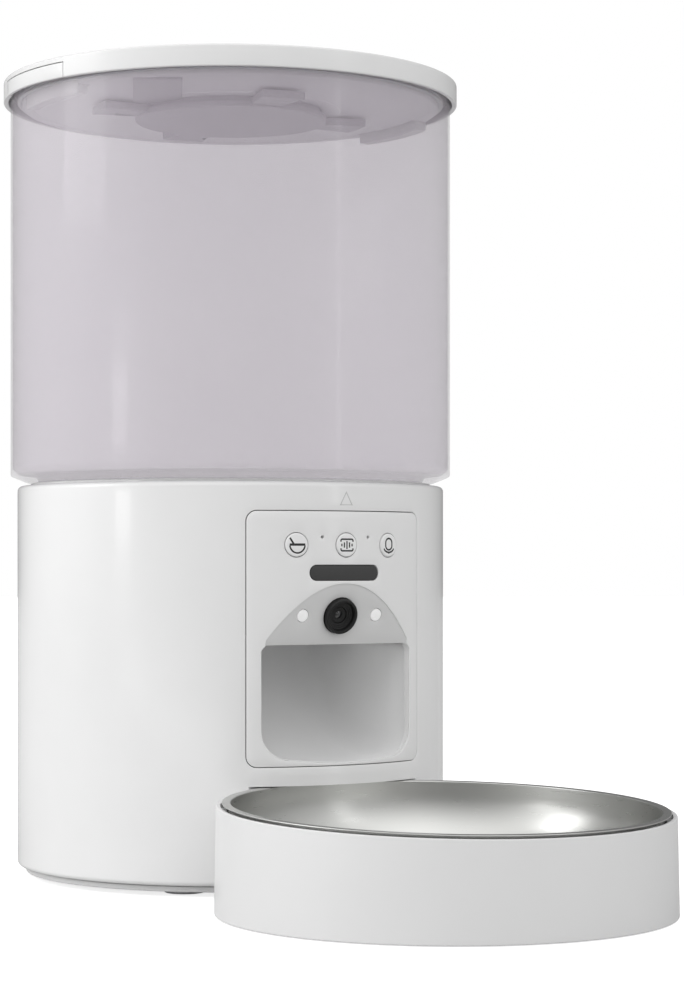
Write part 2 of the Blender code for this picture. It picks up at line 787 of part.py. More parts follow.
def front_panel():
    ring = [
        (BODY_IN_R, PANEL_TOP + OVERRUN),
        (BODY_R, PANEL_TOP + OVERRUN),
        (BODY_R, PANEL_BOTTOM - OVERRUN),
        (BODY_IN_R, PANEL_BOTTOM - OVERRUN),
    ]
    panel = place(turned("front_panel", ring, "white", closed=True))
    keep(panel, front_prism("panel_prism", panel_outline(0), BODY_IN_R / 2, BODY_R + OVERRUN, None))
    mouth = rounded(mouth_corners(MOUTH_HALF, MOUTH_TOP, MOUTH_DIP_Z))
    cut(panel, front_prism("mouth_opening", mouth, BODY_IN_R / 2, BODY_R + OVERRUN, None))
    arch = arch_outline(ARCH_HALF, MOUTH_TOP - OVERRUN, GAP)
    cut(panel, front_prism("arch_opening", arch, BODY_IN_R / 2, BODY_R + OVERRUN, None))
    cut(panel, front_prism("window_opening", window_outline(0), BODY_IN_R / 2, BODY_R + OVERRUN, None))
    for name, angle in button_places().items():
        cut(panel, radial_hole(name + "_hole", BUTTON_R + GAP, angle, BUTTON_Z))
    for side in (-1, 1):
        cut(panel, radial_hole("pin_hole_" + str(side), PIN_HOLE_R, side * PIN_HOLE_ANGLE, PIN_HOLE_Z))
        for level, z in (("high", BOARD_TOP - BOARD_POST_INSET), ("low", BOARD_BOTTOM + BOARD_POST_INSET)):
            unite(panel, board_post("board_post_" + level + "_" + str(side), side * BOARD_POST_X, z))
    return panel


def display_window():
    outer = BODY_R - WINDOW_RECESS
    low = WINDOW_Z - WINDOW_HEIGHT
    high = WINDOW_Z + WINDOW_HEIGHT
    ring = [(outer - WINDOW_THICKNESS, high), (outer, high), (outer, low), (outer - WINDOW_THICKNESS, low)]
    window = place(turned("display_window", ring, "screen", closed=True))
    keep(window, front_prism("window_prism", window_outline(GAP), BODY_IN_R / 2, BODY_R + OVERRUN, None))


# Push buttons, each along its own radius
def button_places():
    return {"button_feed": -BUTTON_ANGLE, "button_record": 0, "button_talk": BUTTON_ANGLE}


def push_button(name, angle):
    rim = BUTTON_R + BUTTON_FLANGE
    sag = BODY_IN_R - math.sqrt(BODY_IN_R**2 - rim**2)
    shoulder = BODY_IN_R - sag - GAP
    flange_back = shoulder - BUTTON_FLANGE_THICKNESS
    plunger = (BOARD_AHEAD + SWITCH_HEIGHT + PLUNGER_HEIGHT) / math.cos(angle)
    stem_end = plunger + BUTTON_TRAVEL + GAP + (BUTTON_STEM_R + PLUNGER_R) * math.tan(abs(angle))
    outline = rounded(
        [
            (0, BODY_R + BUTTON_RISE, 0),
            (BUTTON_R, BODY_R + BUTTON_RISE, BUTTON_EDGE),
            (BUTTON_R, shoulder, 0),
            (rim, shoulder, 0),
            (rim, flange_back, 0),
            (BUTTON_STEM_R, flange_back, 0),
            (BUTTON_STEM_R, stem_end, 0),
            (0, stem_end, 0),
        ],
        closed=False,
    )
    return radial(turned(name, outline, "white", SMALL_STEPS), angle, BUTTON_Z)


# Slanted camera plate and what it carries
def plate_frame():
    frame = bpy.data.objects.new("plate_frame", None)
    PARTS.objects.link(frame)
    return place(frame, ahead=LENS_AHEAD, z=LENS_Z, rotation=(PLATE_TILT, 0, 0))


def on_plate(obj, frame, x=0):
    """Local +Z points out of the plate, and zero is the plate's face."""
    return place(obj, x=x, rotation=(math.radians(90), 0, 0), parent=frame)


def camera_plate(frame):
    arch = arch_outline(ARCH_HALF - GAP, MOUTH_TOP, 0)
    plate = front_prism("camera_plate", arch, BODY_IN_R / 2, BODY_R + OVERRUN, "plate_grey")
    reach = 2 * MOUTH_HALF
    slab = extruded("plate_slab", box_outline(-reach, reach, -reach, reach), -PLATE_THICKNESS, 0, None)
    keep(plate, on_plate(slab, frame))
    bezel_hole = drum("bezel_hole", BEZEL_R + GAP, -OVERRUN, OVERRUN, None, MIDDLE_STEPS)
    cut(plate, on_plate(bezel_hole, frame))
    for side in (-1, 1):
        hole = drum("ir_hole_" + str(side), IR_R + GAP, -OVERRUN, OVERRUN, None)
        cut(plate, on_plate(hole, frame, side * IR_OFFSET))


def camera_eye(frame):
    bezel = [
        (BEZEL_BORE, -LENS_DOME),
        (BEZEL_R - BEZEL_LIP, BEZEL_RISE),
        (BEZEL_R, BEZEL_RISE),
        (BEZEL_R, -BEZEL_DEPTH),
        (BEZEL_BORE, -BEZEL_DEPTH),
    ]
    on_plate(turned("camera_bezel", bezel, "black", MIDDLE_STEPS, closed=True), frame)
    lens_r = BEZEL_BORE - GAP
    centre = (0, -LENS_DOME - lens_r)
    lens = [(0, 0)] + arc(centre, lens_r + LENS_DOME, math.radians(80), math.radians(40), ARC_STEPS)
    lens = [(radius, height) for radius, height in lens if radius < lens_r]
    lens += [(lens_r, lens[-1][1]), (lens_r, -LENS_DEPTH), (0, -LENS_DEPTH)]
    on_plate(turned("camera_lens", lens, "glass", SMALL_STEPS), frame)
    for name, side in (("ir_window_left", -1), ("ir_window_right", 1)):
        window = [(0, IR_RISE, 0), (IR_R, IR_RISE, IR_RISE), (IR_R, -IR_DEPTH, 0), (0, -IR_DEPTH, 0)]
        window = rounded(window, False)
        on_plate(turned(name, window, "white", SMALL_STEPS), frame, side * IR_OFFSET)


def camera_module(frame):
    front = -BEZEL_DEPTH - GAP
    rear = front - BARREL_LENGTH
    barrel = drum("camera_module", BARREL_R, rear, front, "black")
    half = CAMERA_BOARD / 2
    outline = box_outline(-half, half, -half, half)
    carrier = extruded("camera_carrier", outline, rear - CAMERA_BOARD_THICKNESS, rear + GAP, None)
    on_plate(barrel, frame)
    unite(barrel, on_plate(carrier, frame))


# Button board with its switches, and the display behind the window
def button_board():
    outline = box_outline(-BOARD_HALF, BOARD_HALF, BOARD_BOTTOM, BOARD_TOP)
    board = front_prism("button_board", outline, BOARD_AHEAD - BOARD_THICKNESS, BOARD_AHEAD, "board")
    for name, angle in button_places().items():
        x = BODY_R * math.sin(angle)
        half = SWITCH_SIZE / 2
        body = box_outline(x - half, x + half, BUTTON_Z - half, BUTTON_Z + half)
        top = BOARD_AHEAD + SWITCH_HEIGHT
        unite(board, front_prism(name + "_switch", body, BOARD_AHEAD - GAP, top, None))
        x = math.tan(angle) * (top + PLUNGER_HEIGHT)
        plunger = drum(name + "_plunger", PLUNGER_R, top - GAP, top + PLUNGER_HEIGHT, None, TINY_STEPS)
        unite(board, place(plunger, x=x, z=BUTTON_Z, rotation=(math.radians(90), 0, 0)))


def display_module():
    rim = math.sqrt(BODY_IN_R**2 - DISPLAY_HALF**2)
    half = DISPLAY_HEIGHT / 2
    outline = box_outline(-DISPLAY_HALF, DISPLAY_HALF, WINDOW_Z - half, WINDOW_Z + half, DISPLAY_CORNER)
    front_prism("display_module", outline, BOARD_AHEAD + GAP, rim - GAP, "black")


# Chute: a duct lofted from the mouth's outline to the outlet of the chamber
def roof_radius(drop, reach, turn):
    """The roof runs level from the mouth and turns up late, round a soft corner."""
    level = (math.cos(turn) / drop) ** ROOF_POWER
    upright = (math.sin(turn) / reach) ** ROOF_POWER
    return (level + upright) ** (-1 / ROOF_POWER)


def chute_rings(wall):
    pivot_z = DECK_FLOOR_Z - GAP
    near = pivot_z - MOUTH_TOP
    far = pivot_z - MOUTH_DIP_Z
    shoulder = MOUTH_CORNER_Z - MOUTH_DIP_Z
    rings = []
    for step in range(-1, CHUTE_STEPS + 1):
        share = max(step, 0) / CHUTE_STEPS
        turn = share * math.pi / 2
        half = MOUTH_HALF + (THROAT_HALF - MOUTH_HALF) * share + wall
        inner = roof_radius(near - wall, THROAT_NEAR - wall, turn)
        outer = far + (THROAT_FAR - far) * share + wall
        rise = shoulder + (THROAT_DIP_SHARE * THROAT_HALF - shoulder) * share
        corners = [
            (-half, -inner, MOUTH_TOP_CORNER + wall),
            (-half, rise - outer, MOUTH_CORNER + wall),
            (0, -outer, MOUTH_DIP),
            (half, rise - outer, MOUTH_CORNER + wall),
            (half, -inner, MOUTH_TOP_CORNER + wall),
        ]
        ahead = BODY_R + OVERRUN if step < 0 else CHUTE_PIVOT_AHEAD
        ring = []
        for x, height in rounded(corners):
            y = BODY_Y - ahead - height * math.sin(turn)
            ring.append((x, y, pivot_z + height * math.cos(turn)))
        rings.append(ring)
    return rings


def chute_scoop():
    chute = lofted("chute_scoop", chute_rings(CHUTE_WALL), "white")
    inside = chute_rings(0)
    inside.append([(x, y, z + OVERRUN) for x, y, z in inside[-1]])
    cut(chute, lofted("chute_inside", inside, None))
    keep(chute, place(drum("chute_reach", BODY_IN_R - GAP, 0, BODY_TOP, None, TURN_STEPS)))
    plate_back = BODY_R - (ARCH_TOP - MOUTH_TOP) * math.tan(PLATE_TILT)
    plate_back -= PLATE_THICKNESS / math.cos(PLATE_TILT)
    side = MOUTH_HALF + OVERRUN
    roof = block("roof_trim", -side, side, plate_back - GAP, BODY_R, MOUTH_TOP - GAP, ARCH_TOP, None)
    cut(chute, roof)


# Feed deck: the cone that seats the tank, and the rotor chamber under it
def cone_height(radius):
    return THROAT_Z + (radius - THROAT_R) * CONE_SLOPE - CONE_CLEARANCE


def feed_deck():
    rim_r = BODY_IN_R - GAP
    brink_r = THROAT_R + (DECK_TOP + CONE_CLEARANCE - THROAT_Z) / CONE_SLOPE
    chamber_out = CHAMBER_R + DECK_WALL
    under = DECK_RIM_THICKNESS
    outline = [
        (0, CHAMBER_FLOOR),
        (CHAMBER_R, CHAMBER_FLOOR),
        (CHAMBER_R, cone_height(CHAMBER_R)),
        (brink_r, DECK_TOP),
        (rim_r, DECK_TOP),
        (rim_r, DECK_TOP - under),
        (brink_r, DECK_TOP - under),
        (chamber_out, cone_height(chamber_out) - under),
        (chamber_out, CHAMBER_FLOOR),
        (DECK_FLANGE_R, CHAMBER_FLOOR),
        (DECK_FLANGE_R, DECK_FLOOR_Z),
        (0, DECK_FLOOR_Z),
    ]
    deck = place(turned("feed_deck", outline, "grey"))
    outlet = sector_outline(OUTLET_INNER_R, OUTLET_OUTER_R, 0, OUTLET_SPAN)
    cut(deck, place(extruded("outlet", outlet, DECK_FLOOR_Z - OVERRUN, CHAMBER_FLOOR + OVERRUN / 4, None)))
    bore = drum("deck_bore", SHAFT_R + GAP, DECK_FLOOR_Z - OVERRUN, CHAMBER_FLOOR + OVERRUN, None, TINY_STEPS)
    cut(deck, place(bore))


def chamber_cover():
    cover_top = COVER_Z + COVER_THICKNESS
    cover = place(drum("chamber_cover", CHAMBER_R - GAP, COVER_Z, cover_top, "grey", TURN_STEPS))
    inlet = sector_outline(0, INLET_R, math.pi, INLET_SPAN, MIDDLE_STEPS)
    cut(cover, place(extruded("inlet", inlet, COVER_Z - OVERRUN, COVER_Z + OVERRUN, None)))


def feed_rotor():
    top = ROTOR_Z + ROTOR_HEIGHT
    hub = [
        (0, top), (ROTOR_HUB_TIP_R, top), (ROTOR_HUB_R, top - ROTOR_HUB_RISE),
        (ROTOR_HUB_R, ROTOR_Z), (0, ROTOR_Z),
    ]
    rotor = place(turned("feed_rotor", hub, "silicone", SMALL_STEPS))
    blade = []
    for index in range(BLADE_COUNT):
        angle = index * 2 * math.pi / BLADE_COUNT
        along = Vector((math.cos(angle), math.sin(angle)))
        across = Vector((-along.y, along.x))
        root = ROTOR_HUB_R - BLADE_ROOT_THICKNESS
        for radius, half in (
            (root, -BLADE_ROOT_THICKNESS / 2),
            (ROTOR_R, -BLADE_THICKNESS / 2),
            (ROTOR_R, BLADE_THICKNESS / 2),
            (root, BLADE_ROOT_THICKNESS / 2),
        ):
            blade.append(tuple(along * radius + across * half))
    star = extruded("rotor_blades", blade, ROTOR_Z, top - GAP, None)
    bore = drum("rotor_bore", SHAFT_R + GAP, ROTOR_Z - OVERRUN, SHAFT_TOP + GAP, None, TINY_STEPS)
    cut(unite(rotor, place(star)), place(bore))


def drive_shaft():
    place(drum("drive_shaft", SHAFT_R, UPPER_GEAR_Z, SHAFT_TOP, "rod_steel", TINY_STEPS))


# Gear train: trapezoid teeth, in mesh at rest
def gear_outline(teeth, phase):
    pitch_r = GEAR_MODULE * teeth / 2
    tip_r = pitch_r + ADDENDUM_SHARE * GEAR_MODULE
    root_r = pitch_r - DEDENDUM_SHARE * GEAR_MODULE
    pitch = 2 * math.pi / teeth
    points = []
    for tooth in range(teeth):
        middle = phase + tooth * pitch
        for radius, offset in (
            (root_r, -TOOTH_ROOT_SHARE / 2),
            (tip_r, -TOOTH_TIP_SHARE / 2),
            (tip_r, TOOTH_TIP_SHARE / 2),
            (root_r, TOOTH_ROOT_SHARE / 2),
        ):
            angle = middle + offset * pitch
            points.append((radius * math.cos(angle), radius * math.sin(angle)))
    return points


def gear_phase(teeth, toward_front, gap_there):
    """The angle of the first tooth, so that a tooth or a gap faces along the line of centres."""
    direction = -math.pi / 2 if toward_front else math.pi / 2
    return direction + (math.pi / teeth if gap_there else 0)


def gear_train():
    output = gear_outline(WHEEL_TEETH, gear_phase(WHEEL_TEETH, False, True))
    gear = place(extruded("output_gear", output, UPPER_GEAR_Z, UPPER_GEAR_TOP, "acetal"))
    low, top = UPPER_GEAR_Z - OVERRUN, UPPER_GEAR_TOP + OVERRUN
    bore = drum("output_bore", SHAFT_R + GAP, low, top, None, TINY_STEPS)
    cut(gear, place(bore))
    lower = gear_outline(WHEEL_TEETH, gear_phase(WHEEL_TEETH, False, True))
    idler = extruded("idler_gear", lower, LOWER_GEAR_Z, LOWER_GEAR_TOP, "acetal")
    place(idler, ahead=-GEAR_SPACING)
    upper = gear_outline(PINION_TEETH, gear_phase(PINION_TEETH, True, False))
    pinion = extruded("idler_pinion", upper, LOWER_GEAR_TOP - GAP, UPPER_GEAR_TOP, None)
    unite(idler, place(pinion, ahead=-GEAR_SPACING))
    low = LOWER_GEAR_Z - OVERRUN
    bore = drum("idler_bore", AXLE_R + GAP, low, top, None, TINY_STEPS)
    cut(idler, place(bore, ahead=-GEAR_SPACING))
    first = gear_outline(PINION_TEETH, gear_phase(PINION_TEETH, True, False))
    motor = extruded("motor_pinion", first, LOWER_GEAR_Z - GAP, LOWER_GEAR_TOP, "acetal")
    bore = drum("pinion_bore", MOTOR_SHAFT_R + GAP, low, LOWER_GEAR_TOP + OVERRUN, None, TINY_STEPS)
    cut(place(motor, ahead=MOTOR_AHEAD), place(bore, ahead=MOTOR_AHEAD))


def gearbox_outline(shrink):
    side = GEARBOX_HALF - shrink
    rear = MOTOR_AHEAD - GEARBOX_REAR_REACH + shrink
    front = GEARBOX_HALF - shrink
    back_corner = GEARBOX_REAR_CORNER - shrink
    front_corner = GEARBOX_HALF - shrink - WELD
    return rounded(
        [
            (-side, -front, front_corner),
            (side, -front, front_corner),
            (side, -rear, back_corner),
            (-side, -rear, back_corner),
        ]
    )


def gearbox():
    base = place(extruded("gearbox_base", gearbox_outline(0), GEARBOX_FLOOR_Z, GEARBOX_RIM, "grey"))
    pocket = gearbox_outline(GEARBOX_WALL)
    cut(base, place(extruded("gearbox_pocket", pocket, GEARBOX_INSIDE, GEARBOX_RIM + OVERRUN, None)))
    boss_top = GEARBOX_INSIDE + OVERRUN / 2
    boss = drum("motor_boss_hole", MOTOR_BOSS_R + GAP, GEARBOX_FLOOR_Z - OVERRUN, boss_top, None)
    cut(base, place(boss, ahead=MOTOR_AHEAD))
    low = GEARBOX_RIM + GAP
    cover = place(extruded("gearbox_cover", gearbox_outline(0), low, GEARBOX_TOP, "grey"))
    bore = drum("cover_bore", SHAFT_R + GAP, low - OVERRUN, GEARBOX_TOP + OVERRUN, None, TINY_STEPS)
    cut(cover, place(bore))
    axle = drum("idler_axle", AXLE_R, GEARBOX_INSIDE + GAP, GEARBOX_RIM, "rod_steel", TINY_STEPS)
    place(axle, ahead=-GEAR_SPACING)


def drive_motor():
    top = GEARBOX_FLOOR_Z - GAP
    bottom = top - MOTOR_LENGTH
    boss_top = GEARBOX_INSIDE - GAP
    outline = rounded(
        [
            (0, boss_top, 0),
            (MOTOR_BOSS_R, boss_top, 0),
            (MOTOR_BOSS_R, top, 0),
            (MOTOR_R, top, MOTOR_EDGE),
            (MOTOR_R, bottom, MOTOR_EDGE),
            (0, bottom, 0),
        ],
        closed=False,
    )
    motor = place(turned("drive_motor", outline, "steel", SMALL_STEPS), ahead=MOTOR_AHEAD)
    shaft_low = boss_top - MOTOR_SHAFT_DEPTH
    bore = drum("motor_bore", MOTOR_SHAFT_R + GAP, shaft_low - GAP, boss_top + OVERRUN, None, TINY_STEPS)
    cut(motor, place(bore, ahead=MOTOR_AHEAD))
    shaft = drum("motor_shaft", MOTOR_SHAFT_R, shaft_low, LOWER_GEAR_TOP, "rod_steel", TINY_STEPS)
    place(shaft, ahead=MOTOR_AHEAD)


# Base plate, feet and screws
def foot_places():
    return {
        "foot_front_left": -FOOT_ANGLE,
        "foot_front_right": FOOT_ANGLE,
        "foot_rear_left": FOOT_ANGLE - math.pi,
        "foot_rear_right": math.pi - FOOT_ANGLE,
    }


def hatch_outline(shrink):
    side = HATCH_HALF - shrink
    half = HATCH_HALF_LENGTH - shrink
    return box_outline(-side, side, -half, half, HATCH_CORNER)


def base_plate():
    outline = rounded(
        [(0, PLATE_TOP, 0), (BASE_R, PLATE_TOP, 0), (BASE_R, BASE_Z, BASE_EDGE), (0, BASE_Z, 0)],
        closed=False,
    )
    plate = place(turned("base_plate", outline, "grey"))
    cut(plate, alcove_cutter("plate_bite", BASE_SETBACK, PLATE_TOP + OVERRUN))
    hatch = extruded("hatch", hatch_outline(0), BASE_Z - OVERRUN, PLATE_TOP + OVERRUN, None)
    cut(plate, place(hatch, ahead=BAY_AHEAD))
    for name, angle in screw_places().items():
        hole = drum("plate_hole_" + name, SCREW_R + GAP, 0, PLATE_TOP + OVERRUN, None, TINY_STEPS)
        sink_top = BASE_Z + SCREW_HEAD_INSET + SCREW_HEAD_HEIGHT + GAP
        sink = drum("plate_sink_" + name, SCREW_HEAD_R + GAP, 0, sink_top, None, TINY_STEPS)
        cut(plate, upright_at(hole, POST_CIRCLE, angle), upright_at(sink, POST_CIRCLE, angle))
    for index in range(SPEAKER_HOLE_COUNT + 1):
        angle = index * 2 * math.pi / SPEAKER_HOLE_COUNT
        reach = SPEAKER_HOLE_CIRCLE if index < SPEAKER_HOLE_COUNT else 0
        x = SPEAKER_X + reach * math.cos(angle)
        hole = drum("speaker_hole_" + str(index), SPEAKER_HOLE_R, 0, PLATE_TOP + OVERRUN, None, HOLE_STEPS)
        cut(plate, place(hole, x=x, ahead=SPEAKER_AHEAD + reach * math.sin(angle)))


def base_screw(name, angle):
    head_low = BASE_Z + SCREW_HEAD_INSET
    head_top = head_low + SCREW_HEAD_HEIGHT
    top = BODY_BOTTOM + SCREW_LENGTH
    outline = [(0, top), (SCREW_R, top), (SCREW_R, head_top), (SCREW_HEAD_R, head_top)]
    outline += [(SCREW_HEAD_R, head_low), (0, head_low)]
    upright_at(turned("base_screw_" + name, outline, "rod_steel", TINY_STEPS), POST_CIRCLE, angle)


def foot(name, angle):
    outline = rounded([(0, FOOT_HEIGHT, 0), (FOOT_R, FOOT_HEIGHT, 0), (FOOT_R, 0, FOOT_EDGE), (0, 0, 0)], False)
    upright_at(turned(name, outline, "rubber", SMALL_STEPS), FOOT_CIRCLE, angle)


# Battery bay, cells, contacts and door
def battery_bay():
    side = BAY_HALF + BAY_WALL
    half = BAY_HALF_LENGTH + BAY_WALL
    rear = BAY_AHEAD - half
    front = BAY_AHEAD + half
    bay = block("battery_bay", -side, side, rear, front, BODY_BOTTOM, BAY_TOP + BAY_WALL, "grey")
    inner_rear = BAY_AHEAD - BAY_HALF_LENGTH
    inner_front = BAY_AHEAD + BAY_HALF_LENGTH
    cut(bay, block("bay_inside", -BAY_HALF, BAY_HALF, inner_rear, inner_front, 0, BAY_TOP, None))


def battery_cells():
    nub_base = CELL_LENGTH / 2 - CELL_NUB
    outline = [
        (0, CELL_LENGTH / 2),
        (CELL_NUB_R, CELL_LENGTH / 2),
        (CELL_NUB_R, nub_base),
        (CELL_R, nub_base),
        (CELL_R, -CELL_LENGTH / 2),
        (0, -CELL_LENGTH / 2),
    ]
    for index, name in enumerate(("left", "middle", "right")):
        cell = turned("battery_cell_" + name, outline, "cell", SMALL_STEPS)
        turn = math.radians(90 if index % 2 else -90)
        place(cell, x=(index - 1) * CELL_SPACING, ahead=BAY_AHEAD, z=CELL_Z, rotation=(turn, 0, 0))


def contact_strips():
    low = CELL_Z - STRIP_HEIGHT / 2
    high = CELL_Z + STRIP_HEIGHT / 2
    for name, side in (("contact_strip_front", 1), ("contact_strip_rear", -1)):
        inner = BAY_AHEAD + side * (CELL_LENGTH / 2 + GAP)
        outer = inner + side * STRIP_THICKNESS
        block(name, -STRIP_HALF, STRIP_HALF, min(inner, outer), max(inner, outer), low, high, "steel")


def battery_door():
    low = BASE_Z + GAP
    door = place(extruded("battery_door", hatch_outline(GAP), low, PLATE_TOP, "grey"), ahead=BAY_AHEAD)
    half = DOOR_RIB_WIDTH / 2
    for side in (-1, 1):
        middle = BAY_AHEAD + side * DOOR_RIB_OFFSET
        name = "door_rib_" + str(side)
        top = PLATE_TOP + DOOR_RIB
        rib = (-DOOR_RIB_HALF, DOOR_RIB_HALF, middle - half, middle + half, low + GAP, top)
        unite(door, block(name, *rib, None))
    rear = BAY_AHEAD - HATCH_HALF_LENGTH + DOOR_GRIP_WIDTH
    grip = block(
        "door_grip", -DOOR_GRIP_HALF, DOOR_GRIP_HALF, rear, rear + DOOR_GRIP_WIDTH,
        0, low + DOOR_GRIP_DEPTH, None, DOOR_GRIP_WIDTH / 4,
    )
    cut(door, grip)


# Main board, speaker and power jack
def main_board():
    top = BOARD_Z + BOARD_THICKNESS
    board = block("main_board", -MAIN_HALF, MAIN_HALF, MAIN_REAR, MAIN_FRONT, BOARD_Z, top, "board")
    half = CHIP_SIZE / 2
    seat = top - GAP
    chip = block("chip", CHIP_X - half, CHIP_X + half, -half, half, seat, top + CHIP_HEIGHT, None)
    capacitor = drum("capacitor", CAPACITOR_R, seat, top + CAPACITOR_HEIGHT, None, TINY_STEPS)
    half_plug = PLUG_LENGTH / 2
    plug = block(
        "plug_socket", PLUG_X - half_plug, PLUG_X + half_plug, PLUG_AHEAD, PLUG_AHEAD + PLUG_WIDTH,
        seat, top + PLUG_HEIGHT, None,
    )
    unite(board, chip, place(capacitor, x=CAPACITOR_X), plug)


def speaker():
    low = PLATE_TOP + GAP
    top = low + SPEAKER_HEIGHT
    outline = [
        (0, top),
        (SPEAKER_MAGNET_R, top),
        (SPEAKER_MAGNET_R, top - SPEAKER_HEIGHT / 2),
        (SPEAKER_R, low + SPEAKER_RIM),
        (SPEAKER_R, low),
        (0, low),
    ]
    place(turned("speaker", outline, "black", SMALL_STEPS), x=SPEAKER_X, ahead=SPEAKER_AHEAD)


def power_jack():
    rear = -BODY_R + JACK_INSET
    low = JACK_Z - JACK_HEIGHT / 2
    jack = block("power_jack", -JACK_HALF, JACK_HALF, rear, rear + JACK_LENGTH, low, low + JACK_HEIGHT, "black")
    bore = drum("jack_bore", JACK_BORE_R, rear - OVERRUN, rear + JACK_BORE_DEPTH, None)
    cut(jack, place(bore, z=JACK_Z, rotation=(math.radians(90), 0, 0)))


# Tank with its funnel floor
def hopper_tank():
    inner = HOPPER_R - HOPPER_WALL
    neck_in = NECK_R - HOPPER_WALL
    drop = HOPPER_WALL / math.cos(math.atan(CONE_SLOPE))
    throat_in = THROAT_R - THROAT_WALL
    floor = HOPPER_BOTTOM + HOPPER_WALL
    outline = rounded(
        [
            (inner, HOPPER_TOP, 0),
            (HOPPER_R, HOPPER_TOP, 0),
            (HOPPER_R, HOPPER_BOTTOM + HOPPER_BEVEL_RISE, HOPPER_EDGE),
            (HOPPER_R - HOPPER_BEVEL_REACH, HOPPER_BOTTOM, 0),
            (NECK_R, HOPPER_BOTTOM, 0),
            (NECK_R, HOPPER_BOTTOM - NECK_DROP, 0),
            (THROAT_R, THROAT_Z, 0),
            (THROAT_R, THROAT_BOTTOM, 0),
            (throat_in, THROAT_BOTTOM, 0),
            (throat_in, THROAT_Z + drop - THROAT_WALL * CONE_SLOPE, 0),
            (neck_in, HOPPER_BOTTOM - NECK_DROP + drop - HOPPER_WALL * CONE_SLOPE, 0),
            (neck_in + NECK_INNER_SLOPE, floor, 0),
            (inner, floor + HOPPER_FLOOR_RISE, 0),
        ]
    )
    place(turned("hopper_tank", outline, "tank", closed=True))


# Lid with its liner and seal
def latch_angles():
    return {"latch_left": -math.pi / 2, "latch_right": math.pi / 2}


def lid_cover():
    bottom = LID_TOP - LID_RIM
    inner = LID_R - LID_WALL
    under = LID_TOP - LID_PLATE
    outline = rounded(
        [
            (0, LID_TOP, 0),
            (LID_R, LID_TOP, LID_EDGE),
            (LID_R, bottom, 0),
            (inner, bottom, 0),
            (inner, under, 0),
            (0, under, 0),
        ],
        closed=False,
    )
    cover = place(turned("lid_cover", outline, "white"))
    slack = LATCH_SIDE_GAP / LID_R
    notch_top = bottom + LATCH_TAB_HEIGHT + GAP
    for name, angle in latch_angles().items():
        notch = sector_outline(inner - OVERRUN / 2, LID_R + OVERRUN, angle, LATCH_SPAN + 2 * slack)
        cut(cover, place(extruded(name + "_notch", notch, bottom - OVERRUN, notch_top, None)))


def lid_liner():
    top = LID_TOP - LID_PLATE - GAP
    plate_top = LINER_Z + LINER_PLATE
    well = CAP_NECK_R + GAP
    outline = rounded(
        [
            (0, top, 0),
            (well + LINER_WALL, top, 0),
            (well + LINER_WALL, plate_top, 0),
            (LINER_R - LINER_WALL, plate_top, 0),
            (LINER_R - LINER_WALL, top, 0),
            (LINER_R, top, 0),
            (LINER_R, LINER_Z, LINER_EDGE),
            (well, LINER_Z, 0),
            (well, top - LINER_WALL, 0),
            (0, top - LINER_WALL, 0),
        ],
        closed=False,
    )
    liner = place(turned("lid_liner", outline, "white"))
    inner = HOOK_R - HOOK_DEPTH - LATCH_TRAVEL - GAP
    for name, angle in latch_angles().items():
        notch = sector_outline(inner, LINER_R + OVERRUN, angle, LATCH_SPAN + 2 * LATCH_SIDE_GAP / inner)
        cut(liner, place(extruded(name + "_gate", notch, LINER_Z - OVERRUN, LID_TOP, None)))


def lid_seal():
    inner = LINER_R + GAP
    outer = HOPPER_R - HOPPER_WALL - GAP
    top = SEAL_Z + SEAL_HEIGHT
    ring = [(inner, top), (outer, top - SEAL_LIP), (outer, SEAL_Z + SEAL_LIP), (inner, SEAL_Z)]
    place(turned("lid_seal", ring, "silicone", closed=True))


# Press latches in the lid rim
def lid_latch(name, angle):
    """The tab in the lid's rim, the bridge under the lid and the hook, as one swept section."""
    bottom = LID_TOP - LID_RIM
    top = bottom + LATCH_TAB_HEIGHT
    tab_in = LID_R - LATCH_TAB
    hook_in = HOOK_R - HOOK_DEPTH
    section = [
        (LID_R, bottom),
        (LID_R, top),
        (hook_in, top),
        (hook_in, LINER_Z - HOOK_DROP),
        (HOOK_R, LINER_Z - HOOK_DROP),
        (HOOK_R, top - LATCH_BRIDGE),
        (tab_in, top - LATCH_BRIDGE),
        (tab_in, bottom),
    ]
    rings = []
    for step in range(HOLE_STEPS + 1):
        turn = angle + LATCH_SPAN * (step / HOLE_STEPS - 1 / 2)
        sin = math.sin(turn)
        cos = math.cos(turn)
        rings.append([(radius * sin, BODY_Y - radius * cos, height) for radius, height in section])
    lofted(name, rings, "white")


